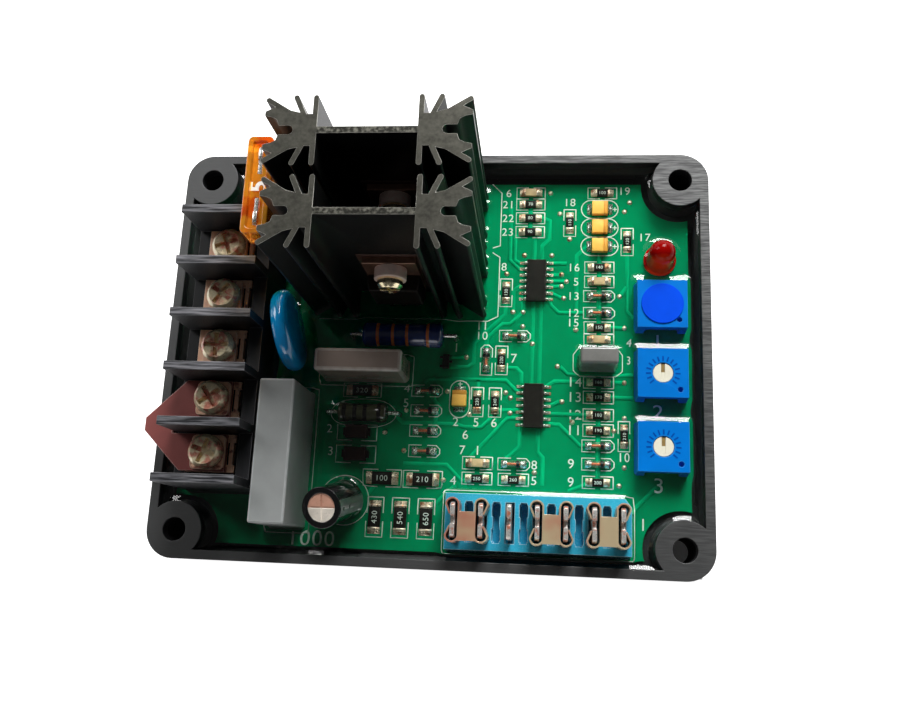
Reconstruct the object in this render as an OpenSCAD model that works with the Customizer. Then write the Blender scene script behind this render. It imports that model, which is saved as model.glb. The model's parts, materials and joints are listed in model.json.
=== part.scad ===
// Automatic voltage regulator: a through-hole and surface-mount board potted in an open tray.
// Millimetres. Z is up, and the origin is the middle of the four fixing holes on the underside.

/* [Tray] */
// Gap between the left wall and the terminal block
left_gap = 4.4; // [4.2:0.1:6]
// Gap between the parts at the right and the right wall
right_gap = 2.55; // [2.35:0.05:4]
// Gap between the front wall and the jumper header
front_gap = 2.1; // [1.9:0.1:3]
// Gap between the rear heat sink and the rear wall
rear_gap = 4.75; // [4.25:0.05:6]
// Height of the rim above the underside
tray_h = 12; // [11:0.5:14]
// Thickness of the side walls
tray_wall = 1.8; // [1.5:0.1:2.2]
// Thickness of the floor
tray_floor = 2; // [1.5:0.1:2.5]
// Outside radius of the corners
tray_corner_r = 5.5; // [4:0.5:6]
// Distance of the fixing holes from the tray's sides
hole_inset = 5.5; // [5.4:0.1:6]
// Diameter of the fixing holes
hole_d = 4.5; // [3.5:0.1:5.5]
// Diameter of the corner bosses
boss_d = 10.8; // [10:0.2:11]
// Diameter of the shoulder round each boss that carries the board
shoulder_d = 18; // [17:0.5:20]
// Height of that shoulder above the floor
shoulder_h = 3.2; // [2.5:0.1:4]

/* [Board and resin] */
// Length of the board's part to the right of the heat sinks
field_l = 39.1; // [38:0.1:43]
// Width of the board's part between the jumper header and the heat sinks
field_w = 35.15; // [34.5:0.05:39]
// Least width from the jumper header's front to the rear wall
field_depth = 77.3; // [77:0.1:82]
// Gap between the board and the side walls
board_gap = 1.7; // [1.2:0.1:1.9]
// Gap between the board and the front wall
board_front_gap = 1.4; // [1.2:0.1:1.6]
// Gap between the board and the rear wall
board_rear_gap = 2.8; // [2.2:0.1:3]
// Thickness of the board
board_t = 1.6; // [1.2:0.1:2]
// Diameter of the notch round each boss
notch_d = 14.4; // [13:0.2:15]
// Depth of clear resin above the board
resin_depth = 2.7; // [2.4:0.1:3.2]
// Play round a lead in its hole
lead_play = 0.1; // [0.05:0.05:0.2]

/* [Terminal block] */
// Spacing of the terminals
way_pitch = 10.2; // [9.9:0.02:10.3]
// Depth of the block, along X
block_depth = 15.4; // [15:0.1:16]
// Gap between the front boss and the block's end
block_end_gap = 2.3; // [1.8:0.1:2.8]
// Height of the cell floors above the board
cell_floor_h = 10; // [8:0.1:11]
// Height of the fins above the cell floors
fin_h = 10.2; // [9:0.1:12]
// Thickness of the fins
fin_t = 1.6; // [1.2:0.1:1.8]
// Thickness of the wall behind the cells
back_wall_t = 2.6; // [2.2:0.1:2.8]
// Height of that wall above the cell floors
back_wall_h = 2.2; // [1:0.1:4]
// Length of a terminal plate
plate_l = 9.4; // [9:0.1:9.8]
// Width of a terminal plate
plate_w = 7.2; // [7:0.1:7.4]
// Thickness of plates, link and clamp washers
strip_t = 0.8; // [0.6:0.1:1]
// Offset of the metal parts from the middle of their cells
cell_shift = 0.5; // [0:0.05:0.6]
// Diameter of a terminal screw
screw_d = 3.5; // [3:0.1:4]
// Diameter of its head
screw_head_d = 6.4; // [5.5:0.1:6.5]
// Height of its head
screw_head_h = 2.4; // [1.8:0.1:3]
// Side of the square clamp washer
clamp_side = 6.5; // [6.2:0.1:6.6]

/* [Heat sinks] */
// Length of the profile, along X
sink_l = 34.9; // [34:0.1:36]
// Depth of the profile, along Y
sink_w = 12.7; // [12.2:0.1:13.4]
// Height of the extrusion
sink_h = 41.2; // [30:0.1:48]
// Thickness of the web
web_t = 1.2; // [1:0.1:1.5]
// Thickness of the thin fins
sink_fin_t = 0.9; // [0.7:0.05:1]
// Gap between the two heat sinks
sink_gap = 1.6; // [1.5:0.1:2.4]
// Room beside the varistor between the terminal block and the heat sinks
column_gap = 3.05; // [2.9:0.05:5]
// Diameter of the solder pins
sink_pin_d = 2.4; // [2:0.1:2.6]

/* [Power devices] */
// Offset of the devices from the middle of the heat sinks
device_shift = 0.9; // [0:0.1:1.4]
// Width of a device
device_w = 10; // [9.5:0.1:10.5]
// Height of a device with its tab
device_h = 15.3; // [14.8:0.1:15.8]
// Thickness of a device
device_t = 4.5; // [4.1:0.1:4.8]
// Height of the moulded case
case_h = 9; // [8.5:0.1:9.4]
// Thickness of the metal tab
tab_t = 1.3; // [1:0.1:1.4]
// Height of the device's lower edge above the board
device_lift = 6.4; // [5:0.1:8]
// Width of the insulating pad
pad_w = 12; // [11:0.1:13]
// Height of the insulating pad
pad_h = 18; // [17:0.1:19]
// Thickness of the insulating pad
pad_t = 0.2; // [0.1:0.05:0.3]
// Diameter of the fixing screw
device_screw_d = 3; // [2.5:0.1:3]

/* [Fuse] */
// Length of the fuse body
fuse_l = 18.6; // [18.2:0.1:19.4]
// Thickness of the fuse body
fuse_t = 4.8; // [4.5:0.1:5.2]
// Height of the fuse body
fuse_h = 12; // [11:0.1:13]
// Height of the body's lower edge above the board
fuse_lift = 17.8; // [15:0.1:18]
// Width of a blade
blade_w = 5.2; // [4.8:0.1:5.4]
// Thickness of a blade
blade_t = 0.7; // [0.6:0.05:0.8]
// Spacing of the blades
blade_pitch = 9.8; // [9.4:0.1:10.2]

/* [Leaded parts] */
// Diameter of the varistor disc
varistor_d = 16.2; // [14.5:0.1:17]
// Thickness of the varistor disc
varistor_t = 4; // [3.5:0.1:4.4]
// Turn of the varistor disc about its leads, in degrees
varistor_turn = 12; // [0:1:13]
// Length of the large film capacitor
film_large_l = 26.5; // [25.5:0.1:27.5]
// Thickness of the large film capacitor
film_large_t = 6.7; // [6:0.1:7.4]
// Height of the large film capacitor
film_large_h = 15.5; // [13:0.1:18]
// Length of the medium film capacitor
film_medium_l = 17; // [16.4:0.1:17.8]
// Thickness of the medium film capacitor
film_medium_t = 4.5; // [4:0.1:5]
// Height of the medium film capacitor
film_medium_h = 10.7; // [9:0.1:12]
// Length of the small film capacitor
film_small_l = 7.2; // [6.6:0.1:7.6]
// Thickness of the small film capacitor
film_small_t = 3.3; // [2.6:0.1:4]
// Height of the small film capacitor
film_small_h = 7.8; // [6:0.1:9]
// Length of the power resistor
power_res_l = 16.6; // [15.6:0.1:17.2]
// Diameter of the power resistor
power_res_d = 5; // [4.5:0.1:5.4]
// Length of the smaller axial resistor
axial_res_l = 10; // [9:0.1:10.6]
// Diameter of the smaller axial resistor
axial_res_d = 3.6; // [3:0.1:4]
// Diameter of the electrolytic capacitor
elco_d = 7.6; // [7:0.1:8]
// Length of the electrolytic capacitor
elco_l = 11.2; // [10:0.1:12.5]
// Lean of the electrolytic capacitor towards the front, in degrees
elco_front = 12; // [8:1:14]
// Lean of the electrolytic capacitor towards the left, in degrees
elco_left = 10; // [4:1:11]
// Diameter of the indicator lamp
led_d = 5; // [4.6:0.1:5.4]
// Diameter of the wire leads
wire_d = 0.8; // [0.6:0.05:0.9]

/* [Jumper header] */
// Spacing of the seven tabs
tab_pitch = 5.08; // [4.9:0.02:5.1]
// Width of a tab
tab_w = 6.3; // [6.1:0.1:6.5]
// Thickness of a tab
tab_s = 0.8; // [0.7:0.05:0.85]
// Height of the tabs above the board
tab_rise = 11.2; // [10.5:0.1:12.5]
// Length of the moulded base beyond the outer tabs
base_end = 1.96; // [1.8:0.02:2.4]
// Width of the moulded base
base_w = 10.4; // [10:0.1:10.8]
// Height of the moulded base
base_h = 5.5; // [4.5:0.1:6]
// Thickness of the sheet that the links are folded from
link_t = 0.3; // [0.26:0.01:0.34]
// Outside radius of a link's rolled edge
roll_r = 1.3; // [1.2:0.01:1.36]

/* [Trimmers] */
// Side of a trimmer's square housing
trim_side = 9.53; // [9:0.01:9.8]
// Height of the housing above the board
trim_h = 4.65; // [4.4:0.05:5]
// Diameter of the rotor
rotor_d = 3.75; // [3.2:0.05:4.2]
// Play round the rotor
rotor_play = 0.08; // [0.05:0.01:0.12]
// Thickness of the seal on the first trimmer
seal_t = 0.25; // [0.15:0.05:0.4]

/* [Hidden] */
$fn = 48;

// Levels
board_z = tray_floor + shoulder_h;
top_z = board_z + board_t;
resin_z = top_z + resin_depth;

// Layout: the tray's inside follows from what stands in it, X from the left and Y from the front
column_l = varistor_t + column_gap;
inside = [left_gap + block_depth + column_l + sink_l + field_l + right_gap,
  front_gap + max(field_depth, base_w + field_w + 2 * sink_w + sink_gap + rear_gap)];
tray_l = inside.x + 2 * tray_wall;
tray_w = inside.y + 2 * tray_wall;
hole_pitch_x = tray_l - 2 * hole_inset;
hole_pitch_y = tray_w - 2 * hole_inset;
board_l = inside.x - 2 * board_gap;
board_w = inside.y - board_front_gap - board_rear_gap;
board_y = (board_front_gap - board_rear_gap) / 2;
block_x = left_gap - inside.x / 2;
block_x1 = block_x + block_depth;
front_y = front_gap - inside.y / 2;
sink_left = block_x1 + column_l;
sink_x = sink_left + sink_l / 2;
sink_y = front_y + base_w + field_w + sink_w / 2;
sink_pitch = sink_w + sink_gap;

// Places on the board are drawn on a plan, which is stretched along X with the length of the board:
// where its heat sinks start, where its header's front is, and how far it goes to the right
plan_left = -24.85;
plan_front = -37.6;
plan_l = 74;
function on_plan(x, y) = [sink_left + (x - plan_left) * (sink_l + field_l) / plan_l,
  front_y + y - plan_front];

// Terminal block
ways = 5;
back_wall = [back_wall_t, back_wall_h];
plate_size = [plate_l, plate_w];
screw_head = [screw_head_d, screw_head_h];
block_l = ways * way_pitch + fin_t;
block_y = boss_d / 2 + block_end_gap + block_l / 2 - hole_pitch_y / 2;
cell_z = top_z + cell_floor_h;
fin_z = cell_z + fin_h;
metal_x = block_x + 2.5;
screw_x = metal_x + plate_size.x * 0.49;
screw_reach = screw_d * 1.45;
screw_bore = screw_reach + 1;
notch = [plate_size.x * 0.18, plate_size.y * 0.58];
leg_x = metal_x + plate_size.x - notch.x + 0.5;
leg_w = notch.y - 0.6;
tail_w = 1.6;
link_nose = [way_pitch * 0.59, way_pitch * 0.24];
link_shoulder = block_x + 1.5;
linked = [3, 4];
clamp_z = cell_z + strip_t;
function cell_y(i) = block_y + cell_shift + way_pitch * ((ways - 1) / 2 - i);
function fin_y(i) = block_y + way_pitch * (ways / 2 - i);
function is_linked(i) = i == linked[0] || i == linked[1];
function head_z(i) = clamp_z + strip_t * (is_linked(i) ? 2 : 1);

// Heat sinks and devices
device_size = [device_w, device_h, device_t];
pad_size = [pad_w, pad_h, pad_t];
sink_end = sink_l / 2;
sink_tip = sink_w / 2;
// Scale of the hands, which are drawn for a profile of this depth
hand = sink_w / 12.7;
web_half = sink_end - 9 * hand;
pin_x = sink_end - 6.5 * hand;
pin_depth = sink_pin_d * 1.7;
slot_r = 0.8;
device_x = sink_x + device_shift;
rear_shift = -0.4;
function sink_at(s) = [sink_x + s * rear_shift, sink_y + s * sink_pitch];
function face_y(s) = sink_at(s).y - web_t / 2 - pad_size.z;
device_z = top_z + device_lift;
device_screw_z = device_z + device_size.y - 2.9;
bush = [6, 2.2];
device_head = [4.8, 1.9];
nut = [5.5, 2.4];
lead_size = [0.8, 0.5];
lead_pitch = 2.54;
lead_back = tab_t + 1.3;

// Fuse, beside the terminal block
fuse_size = [fuse_l, fuse_t, fuse_h];
blade_size = [blade_w, blade_t];
fuse_gap = 0.4;
fuse_neck = fuse_size.y - 1;
fuse_x = block_x1 + fuse_gap + fuse_neck / 2;
fuse_y = on_plan(0, 24.1).y;
fuse_z = top_z + fuse_lift;
clip_w = 6;
clip_t = 0.5;
clip_half = 2;
clip_h = fuse_lift - 1.4;
blade_z = fuse_z - 8;

// Leaded parts
film_large = [film_large_t, film_large_l, film_large_h];
film_medium = [film_medium_l, film_medium_t, film_medium_h];
film_small = [film_small_l, film_small_t, film_small_h];
power_res = [power_res_l, power_res_d];
axial_res = [axial_res_l, axial_res_d];
elco = [elco_d, elco_l];
elco_lean = [elco_front, -elco_left];
varistor_at = [sink_left - 0.65 - varistor_t / 2, on_plan(0, 2.6).y];
varistor_z = top_z + 1.3 + varistor_d / 2;
varistor_pitch = 7.5;
film_large_at = [block_x1 + 1.45 + film_large.x / 2, on_plan(0, -21.4).y];
film_medium_at = on_plan(-13.4, -3.1);
film_small_at = on_plan(32.3, -0.6);
film_lead_pitch = [22.5, 15, 5];
power_res_at = on_plan(-6.1, 3.8);
power_res_z = top_z + 0.5 + power_res.y / 2;
power_bend = power_res.x / 2 + 2.1;
axial_res_at = on_plan(-13.4, -11.9);
axial_res_z = top_z + 0.3 + axial_res.y / 2;
axial_bend = axial_res.x / 2 + 2;
elco_at = on_plan(-16, -29);
elco_tilt = acos(cos(elco_front) * cos(elco_left));
elco_z = top_z + 0.15 + elco_d / 2 * sin(elco_tilt);
elco_pitch = 2.5;
sleeve_t = 0.2;
led_at = on_plan(44.3, 20.4);
led_flange = [led_d + 0.8, 1];
led_h = 8.6;
led_pitch = 2.54;
led_lead = 0.5;

// Jumper header
tab_size = [tab_w, tab_s];
tabs = 7;
base_size = [(tabs - 1) * tab_pitch + 2 * base_end, base_w, base_h];
base_at = [on_plan(21.3, 0).x, front_y + base_w / 2];
base_z = top_z + base_size.z;
slot_floor = top_z + 1.5;
tab_slot = [tab_size.y + 0.9, tab_size.x + 1.2];
tab_leg = [1.2, 2.2];
tab_notch = [tab_size.x * 0.22, 1.6];
link_plate = [tab_size.x * 0.83, 1.1];
link_top = top_z + tab_rise - 0.5;
link_foot = base_z + 0.3;
function tab_x(i) = base_at.x + tab_pitch * (i - (tabs - 1) / 2);

// Trimmers
trim_x = on_plan(44.4, 0).x;
trim_y = [for (y = [10.6, -3.1, -17.2]) on_plan(0, y).y];
trim_foot = 0.4;
trim_top = top_z + trim_h;
rotor_h = 2.2;
rotor_sink = 0.15;
trim_pin_d = 0.6;
trim_pins = [[0, 2.54], [0, -2.54], [-2.54, 0]];
rotor_zero = [0, 90, 90];

// Places of the surface-mounted parts on the plan's half-millimetre grid: X, Y, turn
ic_at = [[20, 16], [20, -9.5]];
chip_at = [[18.5, 32.5, 0], [18.5, 29.5, 0], [18.5, 26.5, 0], [33, 35, 0], [26.5, 28.5, 90],
  [38, 24.5, 90], [14, 13.5, 90], [32.5, 19, 0], [32.5, 6.5, 0], [32.5, -4.5, 0], [32.5, -7.5, 0],
  [32.5, -11, 0], [32.5, -14, 0], [32.5, -24, 0], [37.5, -15, 90], [13.5, -0.5, 90], [9, -9, 90],
  [12.5, -9, 90], [9.5, -24, 0], [16.5, -24, 0]];
power_chip_at = [[-9, -24.5, 0], [-1, -24.5, 0], [-14, -7.2, 0], [-10, -32, 90], [-5, -32, 90],
  [0, -32, 90]];
ceramic_at = [[18.5, 35, 0], [32.5, 16, 0], [32.5, 4, 0], [9.5, -21, 0]];
tantalum_at = [[32.5, 31.5, 0], [32.5, 27.5, 0], [32.5, 23.5, 0], [5.5, -8.5, 90]];
diode_at = [[32.5, 13, 0], [32.5, 9.5, 0], [16, 4.5, 0], [10.5, -0.5, 90], [-1, -7, 0], [-1, -11, 0],
  [-1, -15, 0], [-1, -19, 0], [16.5, -21, 0], [32.5, -17, 0], [32.5, -20.5, 0]];
rectifier_at = [[-14.5, -15.6, 0], [-14.5, -20, 0]];
transistor_at = [2.5, -1, 0];
ic_size = [3.9, 8.65, 1.45];
ic_pitch = 1.27;
ic_lift = 0.1;
ic_reach = 1.05;
chip_size = [3.2, 1.6, 0.6];
power_chip_size = [5, 2.5, 0.6];
ceramic_size = [3.2, 1.6, 1.1];
tantalum_size = [3.5, 2.8, 1.9];
diode_size = [3.5, 1.5];
rectifier_size = [4.3, 2.6, 2.1];
rectifier_foot = [1, 1.5, 1.2];
transistor_size = [1.3, 2.9, 1];
transistor_span = 2.5;

// Shared shapes

// Flat rectangle with round corners, on its middle
module round_rect(l, w, r) {
  square([l - 2 * r, w], center = true);
  square([l, w - 2 * r], center = true);
  for (x = [-1, 1], y = [-1, 1])
    translate([x * (l / 2 - r), y * (w / 2 - r)]) circle(r);
}

// Flat bar with round ends from a to b
module bar(a, b, w) {
  translate(a) rotate(atan2(b.y - a.y, b.x - a.x)) {
    translate([0, -w / 2]) square([norm(b - a), w]);
    circle(d = w);
    translate([norm(b - a), 0]) circle(d = w);
  }
}

// Box on the XY middle of its foot
module block(size) {
  translate([-size.x / 2, -size.y / 2, 0]) cube(size);
}

// Outline in X and Z, carried along Y on its middle
module along_y(w) {
  rotate([90, 0, 0]) translate([0, 0, -w / 2]) linear_extrude(w) children();
}

// Places children on the board at each X, Y, turn of a list
module on_board(places) {
  for (p = places) translate(concat(on_plan(p[0], p[1]), top_z)) rotate(p[2]) children();
}

// Places children over each fixing hole
module at_bosses() {
  for (x = [-1, 1], y = [-1, 1]) translate([x * hole_pitch_x / 2, y * hole_pitch_y / 2]) children();
}

// Straight wire from the board's underside up to a height
module wire(at, z, d) {
  translate([at.x, at.y, board_z]) cylinder(d = d, h = z - board_z);
}

// Cross recess for a screw head that faces up at the origin
module cross_recess(l, w, depth) {
  for (a = [0, 90]) rotate(a) translate([0, 0, -depth]) block([l, w, depth + 1]);
}

// Pan head with a cross recess, its underside on the origin
module pan_head(d, h) {
  difference() {
    union() {
      cylinder(d = d, h = h * 0.6);
      translate([0, 0, h * 0.6]) cylinder(d1 = d, d2 = d * 0.78, h = h * 0.4);
    }
    translate([0, 0, h]) cross_recess(d * 0.72, d * 0.14, h * 0.5);
  }
}

// Tray and board

module tray() {
  color([0.13, 0.13, 0.14]) difference() {
    union() {
      difference() {
        linear_extrude(tray_h) round_rect(tray_l, tray_w, tray_corner_r);
        translate([0, 0, tray_floor]) block([inside.x, inside.y, tray_h]);
      }
      at_bosses() cylinder(d = boss_d, h = tray_h);
      shoulders();
    }
    at_bosses() translate([0, 0, -1]) cylinder(d = hole_d, h = tray_h + 2);
  }
}

// Round ledges inside the walls that the board's notched corners rest on
module shoulders() {
  intersection() {
    linear_extrude(board_z)
      round_rect(tray_l - tray_wall, tray_w - tray_wall, tray_corner_r - tray_wall / 2);
    at_bosses() cylinder(d = shoulder_d, h = board_z);
  }
}

module board_blank() {
  translate([0, 0, board_z]) linear_extrude(board_t) difference() {
    translate([0, board_y]) square([board_l, board_w], center = true);
    at_bosses() circle(d = notch_d);
  }
}

module circuit_board() {
  color([0.03, 0.45, 0.3]) difference() {
    board_blank();
    translate([0, 0, -0.5]) through_leads(lead_play);
    translate([0, 0, 0.5]) through_leads(lead_play);
  }
}

// Everything that passes through the board, grown by the play
module through_leads(play) {
  sink_pins(play);
  for (i = [0 : ways - 1]) plate_tail(i, play);
  for (s = [0, 1]) lead_row(s, play, top_z);
  for (b = [-1, 1]) clip_pins(b, play);
  for (p = varistor_wires()) wire(p, top_z, wire_d + 2 * play);
  for (p = film_wires()) wire(p, top_z, wire_d + 2 * play);
  for (p = resistor_wires()) wire(p, top_z, wire_d + 2 * play);
  for (p = elco_wires()) wire(p, top_z, wire_d + 2 * play);
  for (i = [0 : tabs - 1]) tab_legs(i, play);
  for (i = [0 : 2]) trimmer_wires(i, play);
  led_wires(play, top_z);
}

module potting_resin() {
  color([0.75, 0.85, 0.75, 0.35]) difference() {
    translate([0, 0, tray_floor]) block([inside.x, inside.y, resin_z - tray_floor]);
    at_bosses() cylinder(d = boss_d, h = tray_h);
    shoulders();
    board_blank();
    potted_parts();
  }
}

// The space that parts take up inside the resin
module potted_parts() {
  block_envelope();
  for (s = [0, 1]) {
    sink_blank(s);
    lead_row(s, 0, device_z);
  }
  fuse_clips();
  varistor();
  varistor_leads();
  film_blank(film_large_at, film_large);
  film_blank(film_medium_at, film_medium);
  film_blank(film_small_at, film_small);
  power_resistor();
  axial_resistor();
  resistor_leads();
  elco_blank();
  electrolytic_leads();
  base_blank();
  for (i = [0 : 2]) trimmer_blank(i);
  led_lens();
  led_leads();
  surface_pockets();
}

// Plain pockets over the surface-mounted parts and their feet
module surface_pockets() {
  at_ics() block([ic_size.x + 2 * ic_reach, ic_size.y, ic_lift + ic_size.z]);
  on_board(chip_at) block(chip_size);
  on_board(power_chip_at) block(power_chip_size);
  on_board(ceramic_at) block(ceramic_size);
  on_board(tantalum_at) block(tantalum_size);
  on_board(diode_at) block([diode_size.x, diode_size.y, diode_size.y]);
  on_board(rectifier_at) block([rectifier_size.x + rectifier_foot.x, rectifier_size.y, rectifier_size.z]);
  on_board([transistor_at]) block([transistor_span, transistor_size.y, transistor_size.z + 0.1]);
}

// Terminal block

module block_envelope() {
  translate([block_x, block_y - block_l / 2, top_z]) cube([block_depth, block_l, cell_floor_h]);
}

module terminal_block() {
  color([0.1, 0.1, 0.11]) difference() {
    union() {
      block_envelope();
      translate([block_x1 - back_wall.x, block_y - block_l / 2, cell_z - 1])
        cube([back_wall.x, block_l, back_wall.y + 1]);
      for (i = [0 : ways]) translate([block_x, fin_y(i) - fin_t / 2, cell_z - 1])
        cube([block_depth, fin_t, fin_h + 1]);
    }
    for (i = [0 : ways - 1]) {
      translate([screw_x, cell_y(i), cell_z - screw_bore]) cylinder(d = screw_d, h = screw_bore + 1);
      translate([leg_x - lead_play, cell_y(i) - leg_w / 2 - lead_play, top_z - 1])
        cube([strip_t + 2 * lead_play, leg_w + 2 * lead_play, cell_floor_h + 2]);
    }
  }
}

// Solder tail of a terminal plate through the board
module plate_tail(i, play) {
  translate([leg_x - play, cell_y(i) - tail_w / 2 - play, board_z])
    cube([strip_t + 2 * play, tail_w + 2 * play, board_t]);
}

// Plate with two ears at the back, a bar between them and a leg folded down from the bar
module terminal_plates() {
  color([0.8, 0.66, 0.5]) for (i = [0 : ways - 1]) {
    difference() {
      translate([metal_x, cell_y(i) - plate_size.y / 2, cell_z])
        cube([plate_size.x, plate_size.y, strip_t]);
      translate([metal_x + plate_size.x - notch.x, cell_y(i) - notch.y / 2, cell_z - 1])
        cube([notch.x + 1, notch.y, strip_t + 2]);
      translate([screw_x, cell_y(i), cell_z - 1]) cylinder(d = screw_d, h = strip_t + 2);
    }
    translate([leg_x, cell_y(i) - notch.y / 2 - 0.1, cell_z]) cube([strip_t, notch.y + 0.2, strip_t]);
    translate([leg_x, cell_y(i) - leg_w / 2, top_z]) cube([strip_t, leg_w, cell_floor_h + strip_t / 2]);
    plate_tail(i, 0);
  }
}

module terminal_washers() {
  color([0.82, 0.7, 0.55]) for (i = [0 : ways - 1])
    translate([screw_x, cell_y(i), head_z(i) - strip_t]) linear_extrude(strip_t) difference() {
      round_rect(clamp_side, clamp_side, clamp_side * 0.14);
      circle(d = screw_d);
    }
}

module terminal_screws() {
  color([0.8, 0.72, 0.5]) for (i = [0 : ways - 1]) translate([screw_x, cell_y(i), 0]) {
    translate([0, 0, cell_z - screw_reach]) cylinder(d = screw_d, h = head_z(i) - cell_z + screw_reach + 0.2);
    translate([0, 0, head_z(i)]) rotate(20 + 35 * i) pan_head(screw_head.x, screw_head.y);
  }
}

// Flat link that joins two terminals round the end of the fin between them
module terminal_link() {
  y = [cell_y(linked[0]), cell_y(linked[1])];
  mid = (y[0] + y[1]) / 2;
  half = way_pitch / 2 + plate_size.y / 2 - 0.1;
  toe = block_x - link_nose.x;
  flat = link_nose.y / 2;
  heel = screw_x + clamp_side / 2;
  color([0.55, 0.3, 0.28]) translate([0, 0, clamp_z]) linear_extrude(strip_t) difference() {
    polygon([[heel, mid + half], [link_shoulder, mid + half], [toe, mid + flat], [toe, mid - flat],
      [link_shoulder, mid - half], [heel, mid - half]]);
    translate([block_x - 0.5, fin_y(linked[1]) - fin_t / 2 - 0.3]) square([block_depth, fin_t + 0.6]);
    for (i = [0, 1]) translate([screw_x, y[i]]) circle(d = screw_d);
  }
}

// Heat sinks

// One end of the profile: a palm with a thin fin, a slanted fin, a long tip and a stub, both ways
module sink_hand() {
  palm = [[web_half, hand * 2.9], [sink_end - hand * 7, hand * 2.9],
    [sink_end - hand * 5.4, hand * 3.3], [sink_end - hand * 1.7, hand * 4.2],
    [sink_end, hand * 3.4], [sink_end, hand * 2.6], [sink_end - hand * 1.3, hand * 2.3],
    [sink_end - hand * 2.1, hand * 1.9], [sink_end - hand * 2.5, slot_r]];
  count = len(palm);
  polygon(concat(palm, [for (i = [count - 1 : -1 : 0]) [palm[i].x, -palm[i].y]]));
  for (m = [-1, 1]) {
    bar([web_half + sink_fin_t / 2, 0], [web_half + sink_fin_t / 2, m * (sink_tip - sink_fin_t / 2)],
      sink_fin_t);
    bar([sink_end - hand * 6.8, m * hand * 2.4],
      [sink_end - hand * 5.2, m * (sink_tip - sink_fin_t / 2)], sink_fin_t);
    bar([sink_end - hand * 4.4, m * hand * 3],
      [sink_end - sink_fin_t / 2, m * (sink_tip - sink_fin_t)], sink_fin_t);
  }
}

// Extruded profile: a web between two hands, with a round-bottomed slot in each palm
module sink_blank(s) {
  translate([sink_at(s).x, sink_at(s).y, top_z]) difference() {
    union() {
      translate([0, 0, sink_h / 2]) cube([2 * web_half + 0.4, web_t, sink_h], center = true);
      for (e = [0, 1]) mirror([e, 0, 0]) linear_extrude(sink_h) sink_hand();
    }
    for (e = [0, 1]) mirror([e, 0, 0]) translate([0, 0, -1]) linear_extrude(sink_h + 2)
      bar([sink_end - hand * 4.15, 0], [sink_end + 2, 0], 2 * slot_r);
  }
}

module heatsink(s) {
  color([0.2, 0.2, 0.19]) difference() {
    sink_blank(s);
    for (e = [-1, 1]) translate([sink_at(s).x + e * pin_x, sink_at(s).y, top_z - 1])
      cylinder(d = sink_pin_d, h = pin_depth + 1);
    translate([device_x, sink_at(s).y + web_t, device_screw_z]) rotate([90, 0, 0])
      cylinder(d = device_screw_d + 2 * lead_play, h = 2 * web_t);
  }
}

module heatsink_front() heatsink(0);

module heatsink_rear() heatsink(1);

module sink_pins(play) {
  for (s = [0, 1], e = [-1, 1]) wire(sink_at(s) + [e * pin_x, 0], top_z, sink_pin_d + 2 * play);
}

module heatsink_pins() {
  color([0.75, 0.75, 0.72]) {
    sink_pins(0);
    for (s = [0, 1], e = [-1, 1]) wire(sink_at(s) + [e * pin_x, 0], top_z + pin_depth, sink_pin_d);
  }
}

// Power devices

// Places children against the insulating pad, with Y out of the heat sink and Z up
module at_device(s, z) {
  translate([device_x, face_y(s), z]) children();
}

module device_tab(s) {
  color([0.75, 0.75, 0.74]) difference() {
    at_device(s, device_z) translate([0, -tab_t / 2, 0]) block([device_size.x, tab_t, device_size.y]);
    at_device(s, device_screw_z) rotate([90, 0, 0]) translate([0, 0, -1])
      cylinder(d = device_screw_d + 0.8, h = tab_t + 2);
  }
}

module device_case(s) {
  half = device_size.x / 2;
  color([0.08, 0.08, 0.08]) at_device(s, device_z) linear_extrude(case_h)
    polygon([[-half, -tab_t], [-half, -3], [0.4 - half, -device_size.z], [half - 0.4, -device_size.z],
      [half, -3], [half, -tab_t]]);
}

module front_device_case() device_case(0);

module rear_device_case() device_case(1);

module front_device_tab() device_tab(0);

module rear_device_tab() device_tab(1);

// Three leads of a device from the board up to a height
module lead_row(s, play, z) {
  for (k = [-1 : 1]) translate([device_x + k * lead_pitch, face_y(s) - lead_back, board_z])
    block([lead_size.x + 2 * play, lead_size.y + 2 * play, z - board_z]);
}

module device_leads() {
  color([0.75, 0.75, 0.72]) for (s = [0, 1]) lead_row(s, 0, device_z);
}

module insulating_pads() {
  pad_z = device_z + device_size.y + 1 - pad_size.y;
  color([0.35, 0.22, 0.18]) for (s = [0, 1]) difference() {
    at_device(s, pad_z) translate([0, pad_size.z / 2, 0]) block([pad_size.x, pad_size.z, pad_size.y]);
    at_device(s, device_screw_z) rotate([90, 0, 0]) translate([0, 0, -1])
      cylinder(d = device_screw_d, h = 2);
  }
}

// Flanged bush that keeps the screw off the tab
module insulating_bushes() {
  color([0.85, 0.72, 0.66]) for (s = [0, 1]) at_device(s, device_screw_z) rotate([90, 0, 0])
    difference() {
      union() {
        cylinder(d = device_screw_d + 0.8, h = tab_t);
        translate([0, 0, tab_t]) cylinder(d = bush.x, h = bush.y);
      }
      translate([0, 0, -1]) cylinder(d = device_screw_d, h = tab_t + bush.y + 2);
    }
}

module device_screws() {
  tail = pad_size.z + web_t + nut.y + 0.8;
  color([0.8, 0.75, 0.55]) for (s = [0, 1]) at_device(s, device_screw_z) rotate([90, 0, 0]) {
    translate([0, 0, -tail]) cylinder(d = device_screw_d, h = tail + tab_t + bush.y + 0.2);
    translate([0, 0, tab_t + bush.y]) pan_head(device_head.x, device_head.y);
  }
}

module device_nuts() {
  color([0.8, 0.78, 0.7]) for (s = [0, 1])
    translate([device_x, sink_at(s).y + web_t / 2 + nut.y, device_screw_z]) rotate([90, 0, 0])
      difference() {
        cylinder(d = nut.x / cos(30), h = nut.y, $fn = 6);
        translate([0, 0, -1]) cylinder(d = device_screw_d, h = nut.y + 2);
      }
}

// Fuse

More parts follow.
